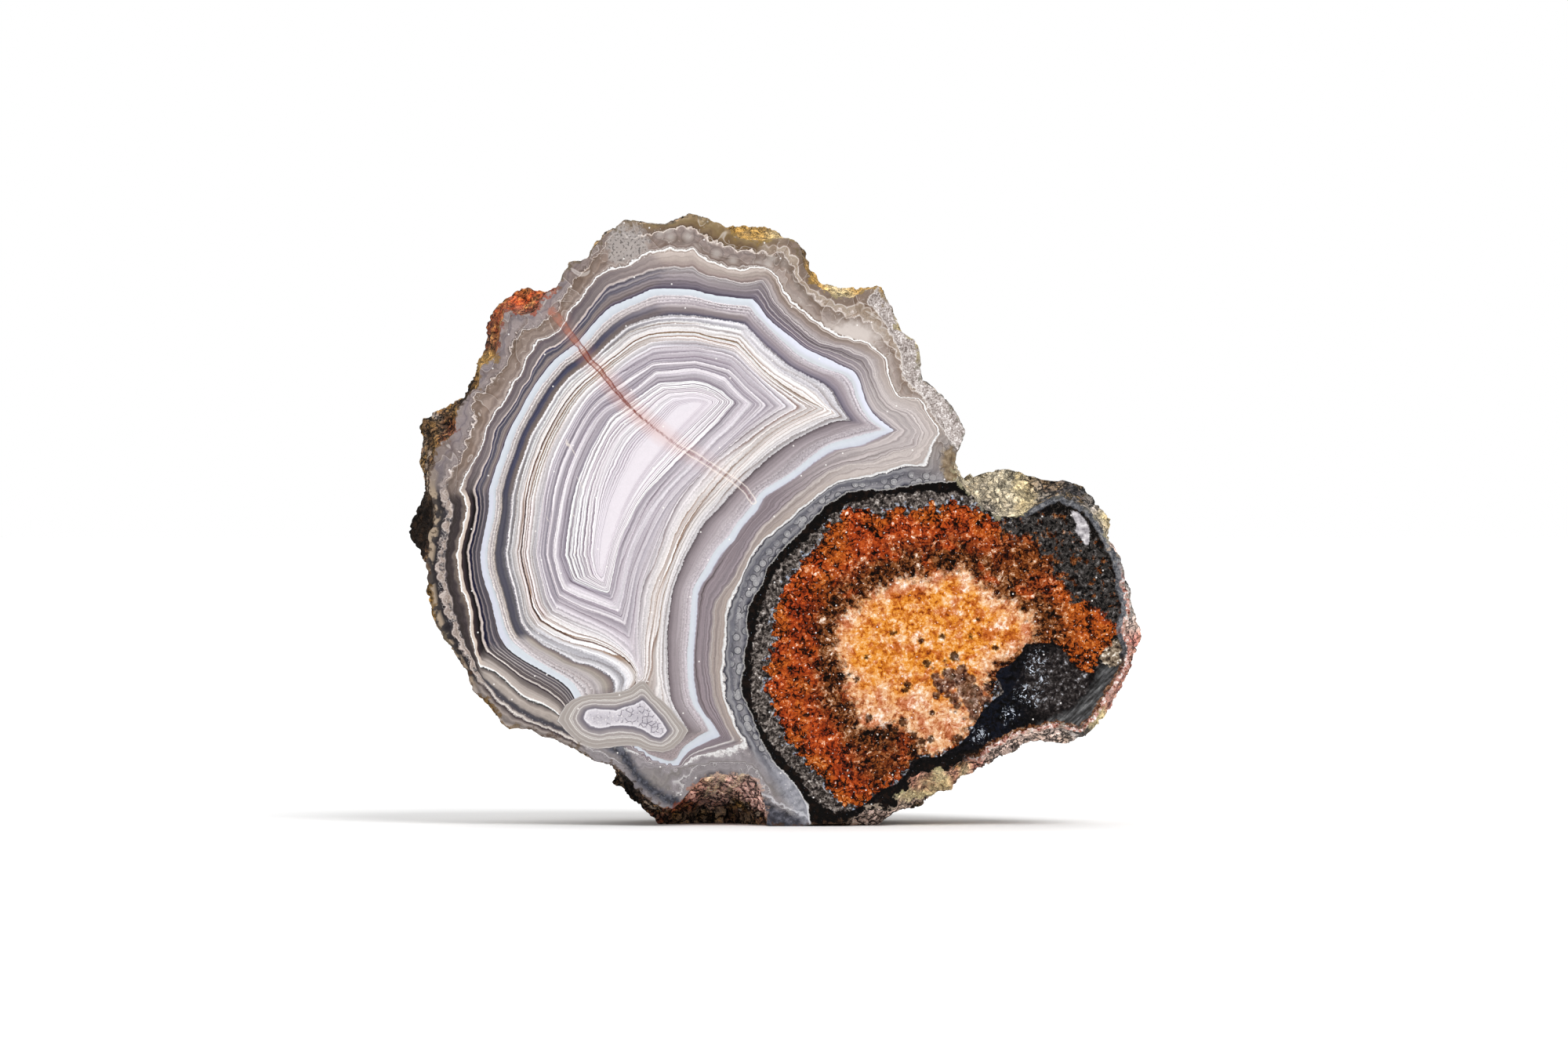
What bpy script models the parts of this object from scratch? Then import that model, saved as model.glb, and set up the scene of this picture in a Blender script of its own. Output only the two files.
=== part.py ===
"""A half nodule of banded agate: two grown-together lobes, sawn and polished flat in front,
rough and knobby all round the back, standing upright on a small ground foot.

Metres, +Z up. The origin is a point of the foot, under the middle of the stone's width.
The foot lies in the plane Z = 0. The polished face is upright, FACE_FORWARD in front of the origin,
and looks along -Y. The functions below measure depth back from the polished face.
Blender 4.5: blender --background --python part.py
"""

import math

import bmesh
import bpy
import numpy as np
from mathutils import Vector, geometry, noise

MM = 0.001

# Driving dimensions.
STONE_WIDTH = 94.8 * MM
MAIN_LOBE_DEPTH = 35 * MM
SIDE_LOBE_DEPTH = 29 * MM
BODY_DEPTH = 22 * MM
EDGE_LIP = 0.2 * MM
RIM_DEPTH = 2.2 * MM
FACE_FORWARD = 13 * MM
STONE_NAME = "agate_half"

# Where the outlines below were read off: pixels of the reference photograph,
# x to the right and y down, with the polished face square to the view.
LEFT_PX = 513
RIGHT_PX = 1461
FOOT_PX = 1054
MIDDLE_PX = (LEFT_PX + RIGHT_PX) / 2
PIXEL = STONE_WIDTH / (RIGHT_PX - LEFT_PX)

# The stone's widest outline, clockwise from the top left. Every point of it can be seen
# from HEART_PX in a straight line.
GIRTH_PX = [
    (798, 276), (807, 278), (830, 283), (851, 282), (867, 275), (876, 270), (888, 272), (898, 273),
    (910, 278), (921, 283), (930, 290), (938, 286), (952, 284), (972, 284), (985, 286), (992, 290),
    (997, 300), (1010, 301), (1020, 309), (1030, 320), (1034, 331), (1035, 343), (1041, 353), (1053, 358),
    (1070, 362), (1085, 363), (1112, 363), (1119, 361), (1129, 370), (1135, 384), (1142, 394), (1143, 402),
    (1151, 421), (1160, 425), (1170, 433), (1171, 440), (1175, 448), (1176, 474), (1181, 484), (1190, 490),
    (1200, 500), (1212, 512), (1221, 523), (1228, 538), (1234, 551), (1228, 566), (1221, 576), (1222, 590),
    (1225, 601), (1231, 607), (1240, 610), (1251, 609), (1260, 602), (1268, 601), (1278, 596), (1286, 594),
    (1298, 596), (1306, 602), (1320, 605), (1340, 611), (1355, 612), (1367, 614), (1373, 611), (1383, 614),
    (1393, 627), (1403, 640), (1413, 653), (1419, 663), (1416, 678), (1419, 691), (1427, 701), (1434, 713),
    (1436, 728), (1441, 740), (1446, 756), (1446, 770), (1452, 783), (1461, 797), (1460, 815), (1455, 828),
    (1450, 843), (1443, 858), (1438, 875), (1430, 890), (1420, 905), (1410, 919), (1400, 931), (1388, 941),
    (1375, 949), (1362, 952), (1345, 951), (1330, 948), (1313, 950), (1300, 960), (1285, 968), (1270, 973),
    (1255, 983), (1240, 991), (1225, 1001), (1218, 1012), (1198, 1016), (1170, 1026), (1150, 1035), (1135, 1039),
    (1120, 1043), (1102, 1045), (1086, 1048), (1078, 1052), (1055, 1053), (1030, 1054), (1012, 1057), (995, 1055),
    (978, 1055), (970, 1048), (950, 1049), (932, 1048), (900, 1045), (878, 1043), (862, 1046), (850, 1044),
    (835, 1039), (820, 1030), (805, 1023), (795, 1013), (789, 1003), (783, 991), (778, 981), (767, 975),
    (755, 972), (747, 966), (735, 959), (715, 951), (700, 944), (690, 941), (682, 936), (667, 931),
    (651, 933), (638, 925), (631, 916), (622, 906), (611, 893), (601, 884), (597, 872), (594, 860),
    (587, 850), (577, 833), (565, 818), (555, 803), (549, 787), (545, 774), (541, 762), (542, 742),
    (541, 723), (535, 711), (525, 700), (516, 687), (513, 675), (516, 662), (525, 652), (531, 637),
    (536, 625), (534, 600), (529, 592), (527, 581), (530, 572), (533, 558), (527, 544), (530, 535),
    (540, 525), (551, 519), (567, 514), (582, 505), (590, 500), (594, 491), (596, 481), (601, 472),
    (601, 460), (610, 447), (614, 435), (617, 406), (621, 395), (630, 386), (637, 376), (650, 370),
    (660, 364), (670, 362), (685, 365), (699, 369), (706, 365), (712, 357), (716, 349), (721, 336),
    (727, 331), (740, 330), (749, 324), (751, 316), (760, 306), (762, 300), (777, 290), (792, 281),
]

# Where crust and broken edges show in front, the polish stops at these lines, inside the girth.
# Each has how steeply the rind falls away behind it, as depth for each unit of reach.
RIND_LINES_PX = [
    # the crust on the crown
    (1.0, [(929, 291), (940, 298), (952, 303), (990, 303), (998, 300)]),
    # the crust in the dip right of the crown
    (1.0, [
        (1029, 318), (1031, 345), (1037, 358), (1050, 368), (1065, 375), (1086, 379), (1093, 374), (1107, 362),
    ]),
    # the tuff block and the chipped shoulder between the two lobes
    (0.9, [
        (1221, 598), (1225, 614), (1235, 625), (1245, 635), (1255, 646), (1268, 655), (1280, 658), (1295, 655),
        (1310, 650), (1322, 640), (1335, 631), (1347, 628), (1360, 634), (1375, 640), (1388, 646), (1398, 656),
        (1405, 668), (1410, 682), (1418, 694), (1427, 703),
    ]),
    # the crust down the right side and along under the side lobe
    (1.3, [
        (1434, 722), (1437, 742), (1442, 760), (1445, 778), (1441, 792), (1437, 806), (1443, 816), (1445, 828),
        (1442, 842), (1440, 856), (1432, 866), (1422, 880), (1415, 892), (1407, 907), (1397, 920), (1385, 932),
        (1372, 939), (1360, 937), (1350, 930), (1337, 930), (1325, 935), (1300, 940), (1290, 945), (1282, 952),
        (1270, 955), (1260, 963), (1252, 974), (1237, 972), (1220, 977), (1210, 985), (1192, 986), (1175, 988),
        (1167, 995), (1160, 1007), (1150, 1015), (1146, 1025), (1146, 1034),
    ]),
    (1.0, [(1130, 1038), (1118, 1035), (1104, 1036), (1094, 1046)]),
    # the recess over the foot and the crust up the lower left
    (1.5, [
        (979, 1054), (976, 1040), (972, 1028), (970, 1012), (965, 1002), (963, 995), (950, 990), (937, 992),
        (925, 988), (918, 992), (905, 993), (892, 996), (886, 1003), (880, 1014), (872, 1026), (862, 1033),
        (840, 1031), (830, 1022), (820, 1016), (810, 1007), (802, 998), (795, 988), (787, 981), (778, 977),
        (766, 973),
    ]),
    (1.3, [(640, 925), (632, 913), (626, 902), (621, 895), (612, 889), (602, 881)]),
    (2.2, [(552, 792), (549, 776), (549, 760), (545, 745)]),
    # the knob and the red crust up the left side
    (2.2, [
        (542, 722), (544, 705), (545, 684), (549, 672), (551, 660), (549, 645), (547, 632), (546, 617),
        (545, 602), (550, 592), (551, 580), (554, 570), (562, 561), (575, 555), (581, 547), (579, 535),
        (580, 525), (582, 517), (590, 512), (595, 503), (601, 496), (609, 490), (610, 475), (612, 462),
        (622, 460), (632, 450), (631, 440), (635, 427), (636, 412), (641, 404), (640, 397), (642, 389),
        (650, 396), (662, 400), (680, 397), (686, 390), (687, 382), (692, 375), (699, 370),
    ]),
]

# The point that the stone is measured round.
HEART_PX = (1050, 800)

# The middles of the two lobes, and how far each swells the back.
MAIN_LOBE_PX = (860, 650)
SIDE_LOBE_PX = (1280, 810)
MAIN_LOBE_REACH = 34 * MM
SIDE_LOBE_REACH = 19 * MM

# The ground foot: where it lies from left to right and from front to back, and how gently
# the underside comes down to it.
FOOT_LEFT_PX = 872
FOOT_RIGHT_PX = 1086
FOOT_FRONT = 6 * MM
FOOT_BACK = 25 * MM
FOOT_FADE = 7 * MM
FOOT_OVERCUT = 1.2 * MM
FOOT_FADE_LOW = 3 * MM
FOOT_FADE_HIGH = 10 * MM

# The loft: points round the girth, the steps from the polish out to it, and how deep each ring
# of the back lies, as a share of the depth. Inside the last ring the back is an even mesh.
ROUND = 320
FRONT_STEPS = (0.0, 0.3, 0.65, 1.0)
BACK_STEPS = (0.07, 0.15, 0.24, 0.34, 0.45, 0.56, 0.67)
HALVE_AT = (0.45,)
GRID = 2.3 * MM
ROW_SPACING = math.sqrt(0.75)
RING_GAP = 0.6 * GRID

# How the slope round the polish bulges, and how square the back's profile is: rounder all round,
# and squarer over the foot.
FRONT_POWER = 0.8
BACK_POWER = 2.9
FOOT_POWER = 9.0
FOOT_ANGLE = math.radians(-103)
FOOT_SPREAD = math.radians(34)

# How many neighbours on each side smooth the girth's notches away down the back, and the rim's depth.
SOFTEN = 26
SOFTEN_RIM = 5

# The rough surface: lumps of three sizes as (size, height), and rounded knobs over them.
LUMPS = ((20 * MM, 4.6 * MM), (9 * MM, 2.4 * MM), (4.6 * MM, 1.1 * MM))
KNOB_SIZE = 10.5 * MM
KNOB_HEIGHT = 3.6 * MM
KNOB_MIDDLE = 0.2
CRUST_RELIEF = 0.14
EDGE_RELIEF = 0.05
FULL_RELIEF_DEPTH = 9 * MM
FOOT_CLEARANCE = 5 * MM

# Points nearer than this are one point.
TINY = 1e-6


def at(point):
    """A photograph point as (x, z) in the plane of the polished face."""
    return Vector(((point[0] - MIDDLE_PX) * PIXEL, (FOOT_PX - point[1]) * PIXEL))


HEART = at(HEART_PX)


def angle_of(number):
    return 2 * math.pi * number / ROUND


def crossings(line, angle):
    """How far from the heart a ray at this angle meets the line's stretches."""
    ray = Vector((math.cos(angle), math.sin(angle)))
    found = []
    for start, end in zip(line, line[1:]):
        side_a, side_b = ray.cross(start - HEART), ray.cross(end - HEART)
        if side_a * side_b <= 0 and side_a != side_b:
            hit = start.lerp(end, side_a / (side_a - side_b)) - HEART
            if hit.dot(ray) > 0:
                found.append(hit.dot(ray))
    return found


def softened(values, width):
    """The values averaged over this many neighbours on each side round the ring."""
    return np.mean([np.roll(values, shift) for shift in range(-width, width + 1)], axis=0)


def outlines():
    """For each of the ROUND angles: the girth's reach, the polish's reach, and the girth's depth."""
    girth_line = [at(point) for point in GIRTH_PX + GIRTH_PX[:1]]
    rind_lines = [(slope, [at(point) for point in line]) for slope, line in RIND_LINES_PX]
    girth, polish, depth = [], [], []
    for number in range(ROUND):
        girth.append(max(crossings(girth_line, angle_of(number))))
        nearest, steepest = girth[-1] - EDGE_LIP, 1.0
        for slope, line in rind_lines:
            for reach in crossings(line, angle_of(number)):
                if reach < nearest:
                    nearest, steepest = reach, slope
        polish.append(nearest)
        depth.append(RIM_DEPTH + steepest * (girth[-1] - nearest))
    return np.array(girth), np.array(polish), softened(np.array(depth), SOFTEN_RIM)


def swelling(x, z, middle_px, reach):
    """1 in the middle of a lobe, falling to 0 past its reach."""
    gap = Vector((x, z)) - at(middle_px)
    return math.exp(-gap.length_squared / (reach * reach))


def full_depth(x, z):
    """How deep the middle of the stone would be, by the lobe that a point of the face lies over."""
    main_lobe = (MAIN_LOBE_DEPTH - BODY_DEPTH) * swelling(x, z, MAIN_LOBE_PX, MAIN_LOBE_REACH)
    side_lobe = (SIDE_LOBE_DEPTH - BODY_DEPTH) * swelling(x, z, SIDE_LOBE_PX, SIDE_LOBE_REACH)
    return BODY_DEPTH + main_lobe + side_lobe


def squareness(angle):
    """The power of the back's rounding: high towards the foot, so that the stone has a flat underside."""
    turn = math.remainder(angle - FOOT_ANGLE, 2 * math.pi)
    return BACK_POWER + (FOOT_POWER - BACK_POWER) * math.exp(-((turn / FOOT_SPREAD) ** 2))


def smooth_step(value, start, end):
    share = min(1.0, max(0.0, (value - start) / (end - start)))
    return share * share * (3 - 2 * share)


def lowered_to_foot(point):
    """The underside drawn down past the foot's plane, so that grinding leaves a flat."""
    left, right = at((FOOT_LEFT_PX, 0)).x, at((FOOT_RIGHT_PX, 0)).x
    across = smooth_step(point.x, left - FOOT_FADE, left) * smooth_step(-point.x, -right - FOOT_FADE, -right)
    along = smooth_step(point.y, FOOT_FRONT - FOOT_FADE, FOOT_FRONT)
    along *= smooth_step(-point.y, -FOOT_BACK - FOOT_FADE, -FOOT_BACK)
    drop = across * along * (1 - smooth_step(point.z, FOOT_FADE_LOW, FOOT_FADE_HIGH))
    return Vector((point.x, point.y, point.z * (1 - drop) - FOOT_OVERCUT * drop))


def knobbly(point):
    """The height of the rough surface at a point: rounded knobs over lumps of three sizes."""
    lumps = sum(height * noise.noise(point / size) for size, height in LUMPS)
    gap = noise.voronoi(point / KNOB_SIZE)[0][0]
    return lumps + KNOB_HEIGHT * (KNOB_MIDDLE - gap * gap)


def front_ring(mesh, step, girth, polish, depth):
    """A ring on the slope from the polish's edge (step 0) out and back to the girth (step 1)."""
    points = []
    for number in range(ROUND):
        reach = polish[number] + (girth[number] - polish[number]) * step
        x = HEART.x + reach * math.cos(angle_of(number))
        z = HEART.y + reach * math.sin(angle_of(number))
        points.append(mesh.verts.new((x, depth[number] * step ** FRONT_POWER, z)))
    return points


def back_ring(mesh, step, stride, girth, depth):
    """A ring of the back, at this share of the way from the girth's depth to the full depth."""
    width = min(SOFTEN, round(2 * SOFTEN * step))
    reaches, rim_depths = softened(girth, width), softened(depth, width)
    points = []
    for number in range(0, ROUND, stride):
        angle = angle_of(number)
        reach = reaches[number] * (1 - step * step) ** (1 / squareness(angle))
        x, z = HEART.x + reach * math.cos(angle), HEART.y + reach * math.sin(angle)
        y = rim_depths[number] + (full_depth(x, z) - rim_depths[number]) * step
        points.append(mesh.verts.new(lowered_to_foot(Vector((x, y, z)))))
    return points


def fill_back(mesh, rim, girth, depth):
    """The back inside the last ring: an even mesh of triangles, as deep as the rings' rule says."""
    reaches, rim_depths = softened(girth, SOFTEN), softened(depth, SOFTEN)
    span = math.ceil(max(reaches) / GRID) + 1
    spots, depths = [], []
    for row in range(-span, span + 1):
        for column in range(-span, span + 1):
            spot = Vector(((column + row % 2 / 2) * GRID, row * GRID * ROW_SPACING))
            angle = math.atan2(spot.y, spot.x)
            number = round(angle / (2 * math.pi) * ROUND) % ROUND
            share = spot.length / reaches[number]
            edge = (1 - BACK_STEPS[-1] ** 2) ** (1 / squareness(angle)) * reaches[number]
            if spot.length > edge - RING_GAP:
                continue
            step = math.sqrt(1 - share ** squareness(angle))
            spot += HEART
            spots.append(spot)
            depths.append(rim_depths[number] + (full_depth(spot.x, spot.y) - rim_depths[number]) * step)
    outline = [Vector((v.co.x, v.co.z)) for v in rim]
    edges = [(i, (i + 1) % len(rim)) for i in range(len(rim))]
    flat, _, faces, origins, _, _ = geometry.delaunay_2d_cdt(outline + spots, edges, [], 1, TINY)
    points = []
    for spot, origin in zip(flat, origins):
        if origin[0] < len(rim):
            points.append(rim[origin[0]])
        else:
            points.append(mesh.verts.new((spot.x, depths[origin[0] - len(rim)], spot.y)))
    for face in faces:
        mesh.faces.new([points[i] for i in face])
    return [v for v in points if v not in set(rim)]


def stitch(mesh, outer, inner):
    """Faces between two rings, where the inner has as many points as the outer, or half."""
    step = len(outer) // len(inner)
    for i, start in enumerate(inner):
        end = inner[(i + 1) % len(inner)]
        first, last = outer[i * step], outer[(i * step + step) % len(outer)]
        if step == 1:
            mesh.faces.new((first, start, end, last))
            continue
        middle = outer[i * step + 1]
        mesh.faces.new((first, start, middle))
        mesh.faces.new((middle, start, end))
        mesh.faces.new((middle, end, last))


def roughen(mesh, crust, rim, back):
    """Moves each point of the rind along its normal. The polish's edge stays where it is."""
    mesh.normal_update()
    moves = []
    for points, least, most in ((crust, 0, CRUST_RELIEF), (rim, EDGE_RELIEF, EDGE_RELIEF), (back, EDGE_RELIEF, 1)):
        for v in points:
            share = least + (most - least) * smooth_step(v.co.y, RIM_DEPTH, FULL_RELIEF_DEPTH)
            share *= smooth_step(v.co.z, 0, FOOT_CLEARANCE)
            moves.append((v, v.normal * knobbly(v.co) * share))
    for v, move in moves:
        v.co += move


def keep_in_girth(points, girth):
    """Draws in what stands out past the girth, so that the girth is the outline seen from in front."""
    for v in points:
        arm = Vector((v.co.x, v.co.z)) - HEART
        place = math.atan2(arm.y, arm.x) / (2 * math.pi) * ROUND
        start = math.floor(place)
        most = girth[start % ROUND] + (girth[(start + 1) % ROUND] - girth[start % ROUND]) * (place - start)
        most -= EDGE_LIP * smooth_step(v.co.y, 0, FULL_RELIEF_DEPTH)
        if arm.length > most:
            arm *= most / arm.length
            v.co.x, v.co.z = HEART.x + arm.x, HEART.y + arm.y


def grind_foot(mesh):
    """Cuts off what hangs below the foot's plane and closes the cut."""
    cut = bmesh.ops.bisect_plane(
        mesh,
        geom=mesh.verts[:] + mesh.edges[:] + mesh.faces[:],
        dist=TINY,
        plane_co=(0, 0, 0),
        plane_no=(0, 0, -1),
        clear_outer=True,
    )
    rim = [e for e in cut["geom_cut"] if isinstance(e, bmesh.types.BMEdge)]
    bmesh.ops.holes_fill(mesh, edges=rim, sides=0)


def make_stone():
    """The whole stone: the flat polish, the rind round it, the knobby back and the foot."""
    girth, polish, depth = outlines()
    mesh = bmesh.new()
    front = [front_ring(mesh, step, girth, polish, depth) for step in FRONT_STEPS]
    stride = 1
    back = []
    for step in BACK_STEPS:
        stride *= 2 if step in HALVE_AT else 1
        back.append(back_ring(mesh, step, stride, girth, depth))
    rings = front + back
    for outer, inner in zip(rings, rings[1:]):
        stitch(mesh, outer, inner)
    filling = fill_back(mesh, back[-1], girth, depth)
    mesh.faces.new(front[0])
    bmesh.ops.recalc_face_normals(mesh, faces=mesh.faces[:])
    behind = sum(back, []) + filling
    roughen(mesh, sum(front[1:-1], []), front[-1], behind)
    keep_in_girth([v for v in front[-1] + behind if v.co.z > FOOT_CLEARANCE], girth)
    grind_foot(mesh)
    bmesh.ops.recalc_face_normals(mesh, faces=mesh.faces[:])
    data = bpy.data.meshes.new(STONE_NAME)
    mesh.to_mesh(data)
    mesh.free()
    stone = bpy.data.objects.new(STONE_NAME, data)
    stone.location.y = -FACE_FORWARD
    return stone


def agate_material():
    """Pale grey-lilac chalcedony, as the banded face looks from a step away."""
    material = bpy.data.materials.new("banded_agate")
    material.use_nodes = True
    shader = material.node_tree.nodes["Principled BSDF"]
    shader.inputs["Base Color"].default_value = (0.52, 0.47, 0.46, 1)
    shader.inputs["Roughness"].default_value = 0.3
    shader.inputs["Metallic"].default_value = 0.0
    return material


def main():
    for old in list(bpy.data.objects):
        bpy.data.objects.remove(old, do_unlink=True)
    collection = bpy.data.collections.new("agate_half_nodule")
    bpy.context.scene.collection.children.link(collection)
    stone = make_stone()
    stone.data.materials.append(agate_material())
    collection.objects.link(stone)


main()
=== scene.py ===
import math

import bmesh
import bpy
import numpy as np
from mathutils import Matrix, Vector, geometry, noise
from mathutils.bvhtree import BVHTree


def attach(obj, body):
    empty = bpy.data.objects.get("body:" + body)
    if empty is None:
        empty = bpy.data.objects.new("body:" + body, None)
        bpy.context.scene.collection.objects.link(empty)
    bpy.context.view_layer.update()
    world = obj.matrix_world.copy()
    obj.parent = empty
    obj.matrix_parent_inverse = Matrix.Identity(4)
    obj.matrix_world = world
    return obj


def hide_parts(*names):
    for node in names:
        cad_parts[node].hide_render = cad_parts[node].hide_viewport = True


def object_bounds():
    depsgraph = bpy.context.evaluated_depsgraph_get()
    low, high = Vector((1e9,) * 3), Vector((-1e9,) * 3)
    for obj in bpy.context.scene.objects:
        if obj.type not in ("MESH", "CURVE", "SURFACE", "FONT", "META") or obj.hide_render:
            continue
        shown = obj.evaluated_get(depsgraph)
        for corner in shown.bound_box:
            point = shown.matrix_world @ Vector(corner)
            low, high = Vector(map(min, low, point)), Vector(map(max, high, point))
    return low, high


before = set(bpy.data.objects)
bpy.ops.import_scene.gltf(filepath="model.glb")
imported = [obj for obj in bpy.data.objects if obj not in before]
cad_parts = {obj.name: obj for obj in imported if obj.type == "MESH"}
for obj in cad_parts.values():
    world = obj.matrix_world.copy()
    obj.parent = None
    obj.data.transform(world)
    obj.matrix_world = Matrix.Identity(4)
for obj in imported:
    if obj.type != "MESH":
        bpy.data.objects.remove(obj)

# The stone as the frame gives it. Its polished face is the plane Y = FACE.
MM = 0.001
STONE = "agate_half"
cad_low, cad_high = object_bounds()
FACE = cad_low.y
MIDDLE_HEIGHT = (cad_low.z + cad_high.z) / 2

# Places on the polished face are read off the reference photograph: its pixels, x right and y down.
PIXEL = 0.1 * MM
ORIGIN_PX = (987, 1054)
PHOTO_WIDTH = 2000
PHOTO_MIDDLE_PX = (1000, 666.5)

# The camera's lens and sensor in millimetres, and how many metres away it still sees things.
LENS = 200
SENSOR = 36
FARTHEST_SEEN = 100

# How fine the meshes are, how often and how roundly the solid's faces are split, how many steps a curve has
# from point to point, and what counts as no distance and as flat.
GRID = 0.36 * MM
ROW_SPACING = math.sqrt(0.75)
EDGE_GAP = 0.2 * MM
REFINEMENTS = 2
ROUNDNESS = 0.8
ARC_STEPS = 6
TINY = 1e-6
FLATNESS = 20 * TINY

# The crust's roughness over the modelled lumps: (size, height) of each scale, the shares of its lumps, pits
# and creases in that height, how wide the creases are, how much of it there is along the polish's edge, and
# where it fades out towards the polish and the flat foot.
CRUST_GRAINS = ((2.6 * MM, 0.42 * MM), (1.3 * MM, 0.3 * MM), (0.7 * MM, 0.16 * MM))
LUMP_SHARE = 0.6
PIT_SHARE = 0.5
CREASE_SHARE = 0.5
CREASE_WIDTH = 0.12
RIM_GRAINS = 0.5
CRUST_FADE = 1.6 * MM
FOOT_FLAT = 0.1 * MM
FOOT_FADE = 1.2 * MM

# How far back the crust's patches of colour reach, the size of their swirls and how far they sway, how much
# of the plain colour shows between them, and what the face's own values are off the face.
PATCH_DEPTH = 8 * MM
PATCH_SWIRL = 7 * MM
PATCH_SWAY = 9 * MM
PLAIN_SHARE = 0.004
OFF_FACE = -9

# Where the noise is read for each direction that it moves a place in.
NOISE_SHIFTS = ((9.3, -1.5, -8.0), (0.0, 0.0, 0.0), (6.3, 0.2, -2.7))

# How far thin lines are set off from the bands beside them, the whitest that they get, and how many stops
# one ramp of their colours has.
CRISPNESS = 0.35
MOST_WHITE = 0.86
RAMP_STOPS = 30

# The lights: name, where it stands in metres, how wide it is in degrees, and its power.
LIGHTS = (
    ("key_light", (0.45, -0.7, 0.95), 30, 1.75),
    ("fill_light", (-0.8, -0.7, 0.6), 60, 0.5),
    ("top_light", (-0.1, 0.4, 1.1), 60, 1.0),
)

# The floor's size in metres and its white, and how bright the room is to the camera, as a light, and in the
# polish, which mirrors a dimmer room and floor, as in a studio that is dark behind the camera.
FLOOR_SIZE = 40
FLOOR_WHITE = (0.93, 0.93, 0.93, 1)
FLOOR_MIRRORED = (0.2, 0.2, 0.2, 1)
ROOM_SEEN = 1.0
ROOM_LIGHT = 0.5
ROOM_MIRRORED = 0.05

# How many points each side of a band has, and how many corners there are between the sides.
SIDE_STEPS = (64, 30, 26, 18, 12, 56, 12, 14, 44)
CORNERS = len(SIDE_STEPS)

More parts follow.
